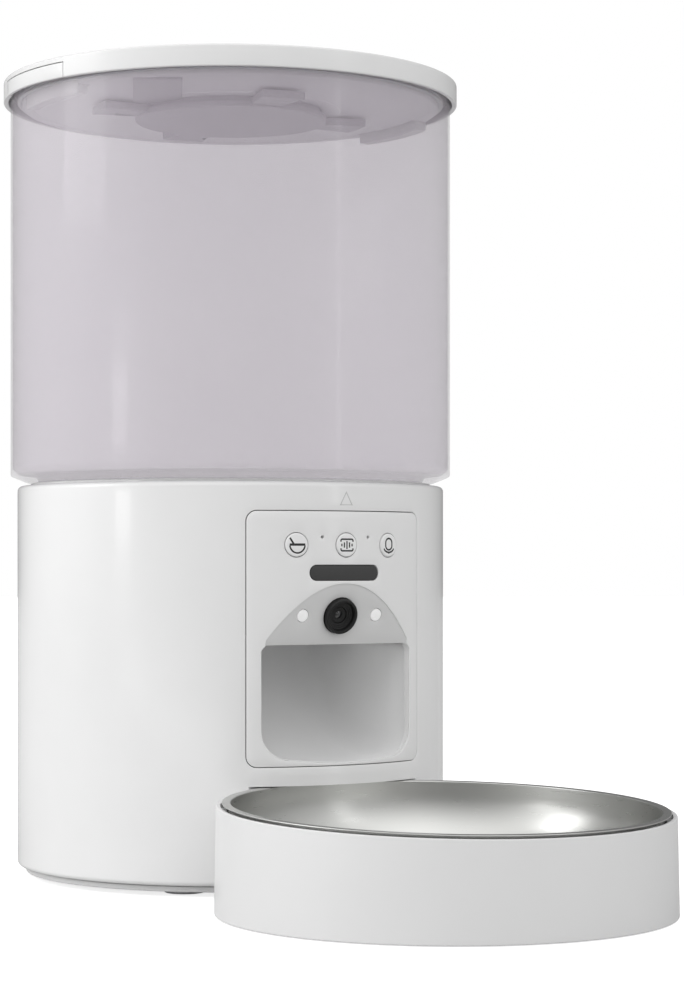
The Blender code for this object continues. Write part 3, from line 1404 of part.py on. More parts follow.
# Desiccant cap and bag under the lid
def desiccant_box():
    cup_in = CAP_NECK_R - CAP_WALL
    plate_top = CAP_Z + CAP_PLATE
    outline = rounded(
        [
            (0, plate_top, 0),
            (cup_in, plate_top, 0),
            (cup_in, CAP_NECK_TOP, 0),
            (CAP_NECK_R, CAP_NECK_TOP, 0),
            (CAP_NECK_R, plate_top, 0),
            (CAP_R, plate_top, 0),
            (CAP_R, CAP_Z, CAP_EDGE),
            (0, CAP_Z, 0),
        ],
        closed=False,
    )
    cap = place(turned("desiccant_cap", outline, "white", MIDDLE_STEPS))
    low = plate_top - LUG_HEIGHT / 2
    for index in range(LUG_COUNT):
        angle = LUG_ANGLE + index * 2 * math.pi / LUG_COUNT
        lug = sector_outline(CAP_NECK_R - CAP_WALL / 2, CAP_R + LUG_REACH, angle, LUG_SPAN)
        unite(cap, place(extruded("cap_lug_" + str(index), lug, low, low + LUG_HEIGHT, None)))
    bag_low = plate_top + GAP
    bag_top = bag_low + BAG_HEIGHT
    bag_r = cup_in - CAP_WALL
    bag = [(0, bag_top, 0), (bag_r, bag_top, BAG_EDGE), (bag_r, bag_low, BAG_EDGE), (0, bag_low, 0)]
    bag = rounded(bag, False)
    place(turned("desiccant_bag", bag, "paper", SMALL_STEPS))


# Bowl tray, whose rim leans forward, and the steel bowl on its shelf
def lean(mesh):
    """Leans each height of the tray in proportion, so the base stays flat on the floor."""
    for vertex in mesh.vertices:
        vertex.co.z += vertex.co.z / TRAY_RIM_Z * RIM_SLOPE * vertex.co.y


def bowl_tray():
    lip_in = TRAY_RIM_R - TRAY_RIM_WALL
    wall_in = TRAY_RIM_R - TRAY_WALL
    shelf_top = TRAY_RIM_Z - SHELF_DROP
    shelf_in = lip_in - SHELF_WIDTH
    floor_top = TRAY_FLOOR_RISE + TRAY_FLOOR
    outline = rounded(
        [
            (0, floor_top, 0),
            (wall_in, floor_top, TRAY_INNER_EDGE),
            (wall_in, shelf_top - SHELF_THICKNESS, 0),
            (shelf_in, shelf_top - SHELF_THICKNESS, 0),
            (shelf_in, shelf_top, 0),
            (lip_in, shelf_top, 0),
            (lip_in, TRAY_RIM_Z, TRAY_RIM_EDGE),
            (TRAY_RIM_R, TRAY_RIM_Z, TRAY_RIM_EDGE),
            (TRAY_BASE_R, 0, TRAY_FOOT_EDGE),
            (TRAY_BASE_R - TRAY_FOOT_WALL, 0, 0),
            (TRAY_BASE_R - TRAY_FOOT_WALL - TRAY_FLOOR_RISE / 2, TRAY_FLOOR_RISE, 0),
            (0, TRAY_FLOOR_RISE, 0),
        ],
        closed=False,
    )
    guide = turned("tray_guide", outline, None)
    mesh = baked(guide)
    bpy.data.objects.remove(guide)
    lean(mesh)
    smooth(mesh)
    place(add_object("bowl_tray", mesh, "white"), ahead=BOWL_AHEAD)


def steel_bowl():
    lip_r = TRAY_RIM_R - TRAY_RIM_WALL - GAP
    dish_r = lip_r - LIP_WIDTH
    floor = -LIP_DROP - DISH_DEPTH
    outline = rounded(
        [
            (0, floor, 0),
            (dish_r - STEEL, floor, DISH_EDGE),
            (dish_r - STEEL, -LIP_DROP, STEEL / 2),
            (lip_r, -LIP_DROP, 0),
            (lip_r, -LIP_DROP - STEEL, 0),
            (dish_r, -LIP_DROP - STEEL, 0),
            (dish_r, floor - STEEL, DISH_EDGE + STEEL),
            (0, floor - STEEL, 0),
        ],
        closed=False,
    )
    bowl = turned("steel_bowl", outline, "steel")
    place(bowl, ahead=BOWL_AHEAD, z=TRAY_RIM_Z, rotation=(math.atan(RIM_SLOPE), 0, 0))


def build():
    body_housing()
    front_panel()
    display_window()
    for name, angle in button_places().items():
        push_button(name, angle)
    frame = plate_frame()
    camera_plate(frame)
    camera_eye(frame)
    camera_module(frame)
    button_board()
    display_module()
    chute_scoop()
    feed_deck()
    chamber_cover()
    feed_rotor()
    drive_shaft()
    gear_train()
    gearbox()
    drive_motor()
    base_plate()
    for name, angle in screw_places().items():
        base_screw(name, angle)
    for name, angle in foot_places().items():
        foot(name, angle)
    battery_bay()
    battery_cells()
    contact_strips()
    battery_door()
    main_board()
    speaker()
    power_jack()
    hopper_tank()
    lid_cover()
    lid_liner()
    lid_seal()
    for name, angle in latch_angles().items():
        lid_latch(name, angle)
    desiccant_box()
    bowl_tray()
    steel_bowl()


build()
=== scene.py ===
"""Looks of the pet feeder with camera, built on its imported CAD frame.

Shapes are written in millimetres in the part's own frame and turned into metres as their meshes are
made. Angles round the body are counted from the front (-Y) towards +X.
"""

import json
import math

import bmesh
import bpy
import numpy as np
from mathutils import Matrix, Vector
from mathutils.geometry import delaunay_2d_cdt


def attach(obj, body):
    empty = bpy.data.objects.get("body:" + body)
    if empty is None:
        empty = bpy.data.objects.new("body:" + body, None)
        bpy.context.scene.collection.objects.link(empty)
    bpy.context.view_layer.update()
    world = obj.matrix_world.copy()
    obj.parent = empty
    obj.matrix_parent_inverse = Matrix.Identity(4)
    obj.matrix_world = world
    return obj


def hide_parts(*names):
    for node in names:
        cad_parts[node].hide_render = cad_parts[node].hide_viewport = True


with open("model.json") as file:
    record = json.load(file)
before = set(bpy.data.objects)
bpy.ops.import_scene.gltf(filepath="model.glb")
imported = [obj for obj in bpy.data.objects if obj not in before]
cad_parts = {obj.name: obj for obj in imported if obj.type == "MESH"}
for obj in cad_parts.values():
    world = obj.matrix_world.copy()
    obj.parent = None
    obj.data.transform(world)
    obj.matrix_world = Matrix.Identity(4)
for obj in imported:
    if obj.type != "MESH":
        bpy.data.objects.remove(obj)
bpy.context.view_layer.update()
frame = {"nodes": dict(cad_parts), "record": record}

MM = 0.001
STEPS = 192
TUBE_SIDES = 8
SHARP = 38.0
GAP = 0.3

# The upright axes of the body and the bowl
BODY = (0.0, 71.25)
BOWL = (0.0, -79.95)

# Housing and front panel
BODY_R = 86.0
WALL = 2.6
SHOULDER = 155.7
ALCOVE_R = 83.1
ALCOVE_ROOF = 41.3
PANEL_HALF = 38.6
PANEL_LOW = 48.6
PANEL_HIGH = 144.4
PANEL_CORNER = 4.0
BUTTON_Z = 131.7
BUTTON_ANGLES = tuple(math.radians(degrees) for degrees in (-13.9, 0.0, 13.9))
WINDOW_Z = 121.2
WINDOW_HALF = 15.2
WINDOW_TALL = 2.85

# Camera plate, which leans back and cuts the wall in an arch
TILT = math.radians(16.0)
APEX_Z = 117.0
ARCH_HALF = 31.8
LENS_Z = 105.0
LENS_D = BODY_R - (APEX_Z - LENS_Z) * math.tan(TILT) - 0.35
EYE_SHIFT = -0.6
LAMP_X = 16.5

# Chute: a quarter bend whose centre lies ahead of the body's axis
MOUTH_HALF = 33.4
MOUTH_TOP = 94.0
LIP = 0.25
LIP_AHEAD = 83.0
SAG_R = 130.0
BEND_AHEAD = 70.0
BEND_Z = 97.0
BEND_REACH = 47.5
BEND_DROP = 48.0
ROOF_REAR = 47.5
CHUTE_WALL = 1.8
CHUTE_ROWS = 28
CHUTE_COLUMNS = 44

# Tank, whose funnel has its lower face between the foot and the edge, as (radius, height), and lid
TANK_R = 88.75
TANK_SKIN = 0.8
FUNNEL_FOOT = (36.0, 131.0)
FUNNEL_EDGE = (78.7, 153.5)
LID_R = 91.5
LID_TOP = 317.7
LATCH_HALF = math.radians(15.2)
HOOK_R = 84.0

# Tray's rim, base plate and power jack
RIM_Z = 37.4
RIM_SLOPE = 0.0354
SCREW_RING_R = 76.0
SCREW_ANGLES = {"front_left": -70.0, "front_right": 70.0, "rear_left": -165.0, "rear_right": 165.0}
FOOT_ANGLES = {"front_left": -45.0, "front_right": 45.0, "rear_left": -135.0, "rear_right": 135.0}
DOOR_Y = BODY[1] + 1.0
SPEAKER = (-30.0, BODY[1] + 54.0)
JACK_Z = 13.0
JACK_HALF = 4.5
JACK_TALL = 5.5


# Outlines
def rounded(corners, closed=False, degrees=9.0):
    """Points through corners (x, y) or (x, y, radius), with an arc wherever a radius is given."""
    points = []
    last = len(corners) - 1
    for index, corner in enumerate(corners):
        here = Vector(corner[:2])
        radius = corner[2] if len(corner) > 2 else 0
        if not radius or (not closed and index in (0, last)):
            points.append(tuple(here))
            continue
        before = (Vector(corners[index - 1][:2]) - here).normalized()
        after = (Vector(corners[(index + 1) % (last + 1)][:2]) - here).normalized()
        half = before.angle(after) / 2
        centre = here + (before + after).normalized() * radius / math.sin(half)
        start = here + before * radius / math.tan(half) - centre
        sweep = start.angle_signed(here + after * radius / math.tan(half) - centre)
        steps = max(2, round(abs(math.degrees(sweep)) / degrees))
        angle = math.atan2(start.y, start.x)
        for step in range(steps + 1):
            turn = angle - sweep * step / steps
            points.append((centre.x + radius * math.cos(turn), centre.y + radius * math.sin(turn)))
    return points


def box_ring(left, right, low, high, radius=0):
    corners = ((left, low), (right, low), (right, high), (left, high))
    return rounded([(*corner, radius) for corner in corners], True)


def circle(x, y, radius, steps=48):
    return [
        (x + radius * math.cos(2 * math.pi * k / steps), y + radius * math.sin(2 * math.pi * k / steps))
        for k in range(steps)
    ]


def around(centre, radius, angle):
    """The point at an angle on a circle: 0 is in front of the centre, and pi / 2 is towards +X."""
    return centre[0] + radius * math.sin(angle), centre[1] - radius * math.cos(angle)


def arc(centre, radius, start, end, steps):
    return [around(centre, radius, start + (end - start) * k / steps) for k in range(steps + 1)]


def arc_band(inner, outer, middle, half, steps):
    """The outline of a ring sector round the body's axis."""
    start, end = middle - half, middle + half
    return arc(BODY, outer, start, end, steps) + arc(BODY, inner, start, end, steps)[::-1]


def dense(ring, longest=1.6):
    """The ring with points added so that no edge is longer than that."""
    points = []
    for (x0, y0), (x1, y1) in zip(ring, ring[1:] + ring[:1]):
        parts = max(1, math.ceil(math.hypot(x1 - x0, y1 - y0) / longest))
        points += [(x0 + (x1 - x0) * k / parts, y0 + (y1 - y0) * k / parts) for k in range(parts)]
    return points


def counterclockwise(ring):
    area = sum(x0 * y1 - x1 * y0 for (x0, y0), (x1, y1) in zip(ring, ring[1:] + ring[:1]))
    return ring if area > 0 else ring[::-1]


def offset(ring, amount):
    """A counterclockwise ring moved outwards by the amount, or inwards by a negative one."""
    if not amount:
        return list(ring)
    points = np.array(ring)
    along = np.roll(points, -1, 0) - points
    along /= np.linalg.norm(along, axis=1, keepdims=True)
    normal = np.stack((along[:, 1], -along[:, 0]), 1)
    both = normal + np.roll(normal, 1, 0)
    both /= np.maximum((both**2).sum(1, keepdims=True) / 2, 0.3)
    return [tuple(point) for point in points + amount * both]


def inside(points, ring):
    """Which of the points lie inside the ring."""
    x, y = points[:, 0], points[:, 1]
    result = np.zeros(len(points), bool)
    for (x0, y0), (x1, y1) in zip(ring, ring[1:] + ring[:1]):
        if y0 != y1:
            crosses = (y0 > y) != (y1 > y)
            result ^= crosses & (x < (x1 - x0) * (y - y0) / (y1 - y0) + x0)
    return result


def fill(outer, holes, step):
    """Triangles that cover the region between an outer ring and its holes, with a lattice inside."""
    rings = [outer, *holes]
    points = [point for ring in rings for point in ring]
    edges = []
    for ring in rings:
        start = len(edges)
        edges += [(start + k, start + (k + 1) % len(ring)) for k in range(len(ring))]
    edge_points = np.array(points)
    low, high = edge_points.min(0), edge_points.max(0)
    grid = np.stack(np.meshgrid(np.arange(low[0], high[0], step), np.arange(low[1], high[1], 2 * step)), -1)
    grid = grid.reshape(-1, 2)
    good = inside(grid, outer)
    for hole in holes:
        good &= ~inside(grid, hole)
    grid = grid[good]
    clear = [np.min(np.abs(edge_points - point).max(1)) > step * 0.6 for point in grid]
    points += [tuple(point) for point in grid[np.array(clear, bool)]] if len(grid) else []
    verts, _, faces, *_ = delaunay_2d_cdt([Vector(point) for point in points], edges, [], 0, 1e-5)
    flat = np.array([tuple(vert) for vert in verts])
    middle = np.array([flat[list(face)].mean(0) for face in faces])
    good = inside(middle, outer)
    for hole in holes:
        good &= ~inside(middle, hole)
    return flat, [face for face, kept in zip(faces, good) if kept]


# Shapes, each as its points in millimetres and its faces
def join(*shapes):
    verts, faces = [], []
    for shape_verts, shape_faces in shapes:
        start = len(verts)
        verts += list(shape_verts)
        faces += [tuple(index + start for index in face) for face in shape_faces]
    return verts, faces


def moved(shape, matrix):
    return [tuple(matrix @ Vector(vert)) for vert in shape[0]], shape[1]


def lathe(outline, steps=STEPS, centre=BODY, closed=False, skip=None):
    """A profile of (radius, height) turned about the upright line through the centre."""
    rows = len(outline)
    verts, faces = [], []
    for turn in range(steps):
        angle = 2 * math.pi * turn / steps
        verts += [(*around(centre, radius, angle), z) for radius, z in outline]
    for turn in range(steps):
        here, after = turn * rows, (turn + 1) % steps * rows
        for row in range(rows if closed else rows - 1):
            if skip and skip(turn, row):
                continue
            low = (row + 1) % rows
            faces.append((here + row, here + low, after + low, after + row))
    return verts, faces


def stitched(loops, closed=True):
    """Faces between loops of equally many points."""
    count = len(loops[0])
    faces = []
    for level in range(len(loops) - 1):
        start = level * count
        for k in range(count if closed else count - 1):
            after = (k + 1) % count
            faces.append((start + k, start + after, start + count + after, start + count + k))
    return [point for loop in loops for point in loop], faces


def on_drum(radius, middle=0.0):
    """Puts (u, v, depth) on a drum: u runs round it, v is the height, and depth goes inwards."""
    return lambda u, v, depth: (*around(BODY, radius - depth, middle + u / radius), v)


def on_plane(matrix):
    """Puts (u, v, depth) on the matrix's XY plane, and depth goes down its Z."""
    return lambda u, v, depth: tuple(matrix @ Vector((u, v, -depth)))


def facing_down(z):
    """Puts (u, v, depth) on a level face that looks down, and depth goes up."""
    return lambda u, v, depth: (u, v, z + depth)


def rim(place, ring, side, edge, depth):
    """The rounded edge of a ring and the wall under it. Side is 1 for a hole and -1 for an outline."""
    loops = []
    for step in range(4):
        turn = math.pi / 6 * step
        loop = offset(ring, side * edge * (1 - math.sin(turn)))
        loops.append([place(u, v, edge * (1 - math.cos(turn))) for u, v in loop])
    loops.append([place(u, v, depth) for u, v in ring])
    return stitched(loops)


def slab(place, outer, holes=(), edge=0.3, depth=WALL, step=2.2, longest=1.6):
    """A plate with rounded upper edges, laid on a drum or a plane."""
    outer = counterclockwise(dense(outer, longest))
    holes = [counterclockwise(dense(hole, longest)) for hole in holes]
    top, top_faces = fill(offset(outer, -edge), [offset(hole, edge) for hole in holes], step)
    base, base_faces = fill(outer, holes, step)
    shapes = [([place(u, v, 0) for u, v in top], top_faces)]
    shapes.append(([place(u, v, depth) for u, v in base], [face[::-1] for face in base_faces]))
    shapes.append(rim(place, outer, -1, edge, depth))
    shapes += [rim(place, hole, 1, edge, depth) for hole in holes]
    return join(*shapes)


def sector(inner, outer, middle, half, low, high, steps=24):
    """An upright ring sector round the body's axis."""
    return column(arc_band(inner, outer, middle, half, steps), low, high)


def column(ring, low, high):
    """An upright block over a ring."""
    verts = [(x, y, low) for x, y in ring] + [(x, y, high) for x, y in ring]
    count = len(ring)
    faces = [(k, (k + 1) % count, count + (k + 1) % count, count + k) for k in range(count)]
    return verts, faces + [tuple(range(count))[::-1], tuple(range(count, 2 * count))]


def radial(angle, z):
    """Local X runs round the body, local Y is up and local Z points out from the body's axis."""
    sin, cos = math.sin(angle), math.cos(angle)
    return Matrix(((cos, 0, sin, BODY[0]), (sin, 0, -cos, BODY[1]), (0, 1, 0, z), (0, 0, 0, 1)))


def plate_matrix():
    """Local X is across the camera plate, local Y is up along it, and local Z points out of it."""
    sin, cos = math.sin(TILT), math.cos(TILT)
    y = BODY[1] - LENS_D
    return Matrix(((1, 0, 0, 0), (0, -sin, -cos, y), (0, cos, -sin, LENS_Z), (0, 0, 0, 1)))


def tube(points, radius, flat, closed=False):
    """A round line through points in a local XY plane, pressed flat by a share, with closed ends."""
    count = len(points)
    path = [Vector(point) for point in points]
    loops = []
    for k, here in enumerate(path):
        before = path[k - 1] if closed or k else here
        after = path[(k + 1) % count] if closed or k < count - 1 else here
        along = (after - before).normalized()
        across = Vector((-along.y, along.x))
        bend = 1.0
        if (closed or 0 < k < count - 1) and (here - before).length and (after - here).length:
            bend = 1 / max(0.6, math.cos((here - before).angle(after - here) / 2))
        loop = []
        for side in range(TUBE_SIDES):
            turn = 2 * math.pi * side / TUBE_SIDES
            point = here + across * radius * bend * math.cos(turn)
            loop.append((point.x, point.y, radius * flat * math.sin(turn)))
        loops.append(loop)
    if closed:
        loops.append(loops[0])
    verts, faces = stitched(loops)
    if not closed:
        faces.append(tuple(range(TUBE_SIDES)))
        faces.append(tuple(range(len(verts) - TUBE_SIDES, len(verts)))[::-1])
    return verts, faces


# Objects
def cleaned(mesh, sharp):
    """Welds the mesh, turns its faces outwards and shades it smooth up to an angle in degrees."""
    shell = bmesh.new()
    shell.from_mesh(mesh)
    bmesh.ops.remove_doubles(shell, verts=shell.verts, dist=1e-6)
    bmesh.ops.dissolve_degenerate(shell, edges=shell.edges, dist=1e-7)
    bmesh.ops.recalc_face_normals(shell, faces=shell.faces)
    shell.to_mesh(mesh)
    shell.free()
    mesh.shade_smooth()
    mesh.set_sharp_from_angle(angle=math.radians(sharp))


def new_object(name, shape, sharp=SHARP):
    mesh = bpy.data.meshes.new(name)
    mesh.from_pydata([Vector(vert) * MM for vert in shape[0]], [], shape[1])
    cleaned(mesh, sharp)
    obj = bpy.data.objects.new(name, mesh)
    bpy.context.scene.collection.objects.link(obj)
    return obj


def carved(obj, *shapes):
    """Cuts closed shapes out of the object's mesh."""
    for shape in shapes:
        tool = new_object(obj.name + "_cut", shape)
        modifier = obj.modifiers.new("cut", "BOOLEAN")
        modifier.operation = "DIFFERENCE"
        modifier.solver = "EXACT"
        modifier.object = tool
        bpy.context.view_layer.update()
        graph = bpy.context.evaluated_depsgraph_get()
        mesh = bpy.data.meshes.new_from_object(obj.evaluated_get(graph))
        obj.modifiers.clear()
        obj.data = mesh
        bpy.data.objects.remove(tool)
    cleaned(obj.data, SHARP)


def dress(obj, body, look, slot, *nodes):
    """Gives the piece its body, its material and the CAD nodes that it stands for, which it hides. The slot
    is not used.
    """
    obj.data.materials.clear()
    obj.data.materials.append(LOOKS[look])
    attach(obj, body)
    if nodes:
        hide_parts(*nodes)


# Materials
class Graph:
    """A short way to add and link shader nodes."""

    def __init__(self, name):
        self.material = bpy.data.materials.new(name)
        self.material.use_nodes = True
        self.tree = self.material.node_tree
        self.shader = self.tree.nodes["Principled BSDF"]
        self.place = self.add("ShaderNodeTexCoord").outputs["Object"]

    def add(self, kind, inputs=(), **settings):
        node = self.tree.nodes.new(kind)
        for key, value in settings.items():
            setattr(node, key, value)
        for key, value in dict(inputs).items():
            if hasattr(value, "links"):
                self.tree.links.new(value, node.inputs[key])
            else:
                node.inputs[key].default_value = value
        return node

    def noise(self, scale, detail=2.0, rough=0.5, vector=None):
        inputs = {"Vector": vector or self.place, "Scale": scale, "Detail": detail, "Roughness": rough}
        return self.add("ShaderNodeTexNoise", inputs).outputs["Fac"]

    def span(self, value, low, high, start=0.3, end=0.7):
        inputs = {"Value": value, "From Min": start, "From Max": end, "To Min": low, "To Max": high}
        return self.add("ShaderNodeMapRange", inputs).outputs["Result"]

    def blend(self, amount, first, second):
        node = self.add("ShaderNodeMix", data_type="RGBA")
        self.tree.links.new(amount, node.inputs[0])
        for socket, colour in ((node.inputs[6], first), (node.inputs[7], second)):
            if hasattr(colour, "links"):
                self.tree.links.new(colour, socket)
            else:
                socket.default_value = (*colour, 1.0)
        return node.outputs[2]

    def bump(self, height, distance, strength=1.0, under=None):
        node = self.add("ShaderNodeBump", {"Height": height, "Distance": distance, "Strength": strength})
        if under:
            self.tree.links.new(under, node.inputs["Normal"])
        return node.outputs["Normal"]

    def finish(self, **inputs):
        for key, value in inputs.items():
            socket = self.shader.inputs[key.replace("_", " ")]
            if hasattr(value, "links"):
                self.tree.links.new(value, socket)
            else:
                socket.default_value = value
        return self.material


def shade(colour, share):
    return tuple(min(1.0, channel * share) for channel in colour)


def plastic(name, colour, rough, spread=0.02, grain=0.000004, grain_scale=2600.0, **more):
    """Moulded plastic: a faint cloudiness, a fine grain and the slow waviness of a moulded wall."""
    g = Graph(name)
    cloud = g.noise(14.0, 3.0, 0.6)
    speck = g.noise(grain_scale, 2.0)
    colour_link = g.blend(g.span(cloud, 0.0, 1.0), shade(colour, 1 - spread), shade(colour, 1 + spread))
    worn = g.span(g.noise(60.0, 4.0, 0.65), rough * 0.97, rough * 1.03)
    normal = g.bump(g.noise(38.0, 1.0), 0.00002)
    normal = g.bump(speck, grain, 1.0, normal)
    return g.finish(Base_Color=colour_link, Roughness=worn, Normal=normal, **more)


def metal(name, colour, rough, scale=400.0):
    g = Graph(name)
    streak = g.noise(scale, 5.0, 0.7)
    stain = g.noise(30.0, 3.0, 0.6)
    colour_link = g.blend(g.span(stain, 0.0, 1.0), shade(colour, 0.93), shade(colour, 1.05))
    rough_link = g.span(streak, rough * 0.75, rough * 1.3)
    normal = g.bump(streak, 0.000006)
    return g.finish(Base_Color=colour_link, Roughness=rough_link, Normal=normal, Metallic=1.0)


def spun_steel(name):
    """Satin steel, polished round and round about the bowl's axis."""
    g = Graph(name)
    away = g.add("ShaderNodeVectorMath", {0: g.place, 1: (0.0, BOWL[1] * MM, 0.0)}, operation="SUBTRACT")
    parts = g.add("ShaderNodeSeparateXYZ", {"Vector": away.outputs["Vector"]})
    reach = g.add("ShaderNodeCombineXYZ", {"X": parts.outputs["X"], "Y": parts.outputs["Y"]})
    radius = g.add("ShaderNodeVectorMath", {0: reach.outputs["Vector"]}, operation="LENGTH").outputs["Value"]
    turn = g.add(
        "ShaderNodeMath", {0: parts.outputs["Y"], 1: parts.outputs["X"]}, operation="ARCTAN2"
    ).outputs["Value"]
    slow_turn = g.add("ShaderNodeMath", {0: turn, 1: 0.004}, operation="MULTIPLY").outputs["Value"]
    place = g.add("ShaderNodeCombineXYZ", {"X": radius, "Y": slow_turn, "Z": parts.outputs["Z"]})
    rings = g.noise(1200.0, 3.0, 0.6, place.outputs["Vector"])
    cloud = g.noise(26.0, 2.0, 0.5)
    colour = g.blend(g.span(cloud, 0.0, 1.0), (0.52, 0.525, 0.51), (0.55, 0.55, 0.535))
    rough = g.span(rings, 0.27, 0.31)
    return g.finish(Base_Color=colour, Roughness=rough, Normal=g.bump(rings, 0.000002), Metallic=1.0)


def tank_plastic(name):
    g = Graph(name)
    cloud = g.noise(10.0, 3.0, 0.6)
    colour = g.blend(g.span(cloud, 0.0, 1.0), (0.59, 0.535, 0.605), (0.63, 0.575, 0.64))
    rough = g.span(g.noise(90.0, 3.0, 0.6), 0.15, 0.21)
    normal = g.bump(g.noise(26.0, 1.0), 0.00002)
    material = g.finish(
        Base_Color=colour, Roughness=rough, Normal=normal, Alpha=0.29, Coat_Weight=0.5, Coat_Roughness=0.07
    )
    material.surface_render_method = "DITHERED"
    return material


def board_look(name):
    g = Graph(name)
    cells = g.add("ShaderNodeTexVoronoi", {"Vector": g.place, "Scale": 420.0}, feature="DISTANCE_TO_EDGE")
    tracks = g.span(cells.outputs["Distance"], 0.0, 1.0, 0.03, 0.06)
    colour = g.blend(tracks, (0.03, 0.22, 0.10), (0.015, 0.12, 0.05))
    rough = g.span(g.noise(500.0), 0.30, 0.45)
    return g.finish(Base_Color=colour, Roughness=rough, Normal=g.bump(tracks, 0.00003))


def cell_look(name):
    """A wrapped cell: a dark sleeve with a warm band at one end."""
    g = Graph(name)
    parts = g.add("ShaderNodeSeparateXYZ", {"Vector": g.place})
    band = g.span(parts.outputs["Y"], 0.0, 1.0, 0.0590, 0.0594)
    dark = g.blend(g.span(g.noise(80.0, 3.0), 0.0, 1.0), (0.028, 0.028, 0.031), (0.042, 0.042, 0.045))
    colour = g.blend(band, (0.42, 0.22, 0.06), dark)
    rough = g.span(g.noise(600.0, 3.0), 0.22, 0.34)
    return g.finish(Base_Color=colour, Roughness=rough, Normal=g.bump(g.noise(900.0), 0.00001), Metallic=0.35)


def paper_look(name):
    g = Graph(name)
    fibre = g.noise(900.0, 6.0, 0.75)
    dots = g.add("ShaderNodeTexVoronoi", {"Vector": g.place, "Scale": 700.0}).outputs["Distance"]
    colour = g.blend(g.span(fibre, 0.0, 1.0), (0.74, 0.73, 0.69), (0.86, 0.85, 0.82))
    return g.finish(Base_Color=colour, Roughness=g.span(dots, 0.75, 0.95), Normal=g.bump(fibre, 0.00008))


def floor_look(name):
    g = Graph(name)
    colour = g.blend(g.span(g.noise(3.0, 4.0), 0.0, 1.0), (0.58, 0.58, 0.58), (0.62, 0.62, 0.62))
    rough = g.span(g.noise(40.0, 3.0), 0.55, 0.65)
    seen = g.add("ShaderNodeLightPath").outputs["Is Camera Ray"]
    glow = g.span(seen, 0.0, 0.8, 0.0, 1.0)
    return g.finish(Base_Color=colour, Roughness=rough, Emission_Color=(1, 1, 1, 1), Emission_Strength=glow)


WHITE = (0.80, 0.80, 0.80)
LOOKS = {
    "shell": plastic("shell_white", WHITE, 0.20, Coat_Weight=0.35, Coat_Roughness=0.08),
    "panel": plastic("panel_white", WHITE, 0.24, grain=0.000006),
    "lid": plastic("lid_white", (0.78, 0.78, 0.78), 0.24, grain=0.000006),
    "liner": plastic("liner_white", (0.80, 0.79, 0.81), 0.34, grain=0.00001),
    "cap": plastic("cap_grey", (0.40, 0.385, 0.41), 0.36, grain=0.00001),
    "chute": plastic("chute_white", (0.88, 0.88, 0.88), 0.34, grain=0.000008),
    "button": plastic("button_white", (0.82, 0.82, 0.82), 0.26, grain=0.000005),
    # The camera plate is white plastic drawn darker than the panel: painted shade for its downward lean.
    "plate": plastic("camera_plate_white_painted_shade", (0.70, 0.70, 0.70), 0.34, grain=0.000008),
    "window": plastic(
        "window_smoke", (0.040, 0.040, 0.040), 0.45, spread=0.04, grain=0.000003, Specular_IOR_Level=0.4
    ),
    "bezel": plastic(
        "bezel_black", (0.008, 0.008, 0.008), 0.42, spread=0.15, grain=0.00001, Specular_IOR_Level=0.35
    ),
    "lens": plastic("lens_glass", (0.006, 0.006, 0.008), 0.04, spread=0.3, grain=0.0, Coat_Weight=1.0),
    # The IR windows glow faintly white: painted light that lifts their tone, since they are no lamp.
    "ir": plastic(
        "ir_window_painted_glow", (0.88, 0.88, 0.88), 0.28, grain=0.000004,
        Emission_Color=(1.0, 1.0, 1.0, 1.0), Emission_Strength=0.16,
    ),
    "ink": plastic("icon_ink", (0.012, 0.012, 0.012), 0.45, spread=0.2, grain=0.000006),
    "mark": plastic("mark_grey", (0.52, 0.52, 0.52), 0.45, spread=0.05, grain=0.000006),
    "tank": tank_plastic("tank_translucent"),
    "base": plastic("base_grey", (0.69, 0.69, 0.69), 0.46, grain=0.00003, grain_scale=1500.0),
    "foot": plastic("foot_rubber", (0.56, 0.56, 0.57), 0.72, spread=0.06, grain=0.00005, grain_scale=1800.0),
    "deck": plastic("deck_grey", (0.52, 0.52, 0.53), 0.38, grain=0.00001),
    "silicone": plastic("silicone_milky", (0.72, 0.72, 0.70), 0.55, grain=0.00001, Subsurface_Weight=0.15),
    "acetal": plastic("acetal_cream", (0.76, 0.74, 0.68), 0.38, grain=0.000008),
    "black": plastic("module_black", (0.02, 0.02, 0.021), 0.45, spread=0.12, grain=0.00002),
    "tray": plastic("tray_white", (0.72, 0.72, 0.72), 0.34, spread=0.012, grain=0.000002),
    "steel": metal("ground_steel", (0.52, 0.52, 0.51), 0.26),
    "zinc": metal("zinc_plated", (0.60, 0.60, 0.58), 0.32, scale=700.0),
    "bowl": spun_steel("bowl_steel"),
    "board": board_look("board_green"),
    "cell": cell_look("cell_wrap"),
    "paper": paper_look("desiccant_paper"),
    "floor": floor_look("floor_white"),
}
SLOT_LOOKS = {
    "modules": "black", "boards": "board", "shafts": "steel", "gears": "acetal", "gearbox": "deck",
    "motor": "zinc", "battery_bay": "deck", "cells": "cell", "contacts": "zinc", "desiccant_bag": "paper",
}


# Camera, lights and floor, in metres but for the floor
FOCAL_PIXELS = 2616.0
FRAME_PIXELS = 990.0
SENSOR = 36.0
CAMERA_SHIFT = (0.0202, 0.0703)
CAMERA_PLACE = (-0.5392, BODY[1] * MM - 0.9152, 0.1243)
CAMERA_TURN = math.radians(-32.5)
LIGHT_AIM = 0.16
SKY_BASE = 0.21
SKY_LOBES = ((-118.0, 15.0, 3.3, 1.65), (-12.0, 57.0, 3.0, 1.45), (60.0, 10.0, 3.0, 0.42))
FLOOR_R = 9000.0
FLOOR_DROP = 0.4


def camera():
    data = bpy.data.cameras.new("photo_camera")
    data.lens = FOCAL_PIXELS / FRAME_PIXELS * SENSOR
    data.shift_x, data.shift_y = CAMERA_SHIFT
    data.clip_start = 0.01
    obj = bpy.data.objects.new("photo_camera", data)
    obj.location = CAMERA_PLACE
    obj.rotation_euler = (math.radians(90), 0, CAMERA_TURN)
    bpy.context.scene.collection.objects.link(obj)
    bpy.context.scene.camera = obj


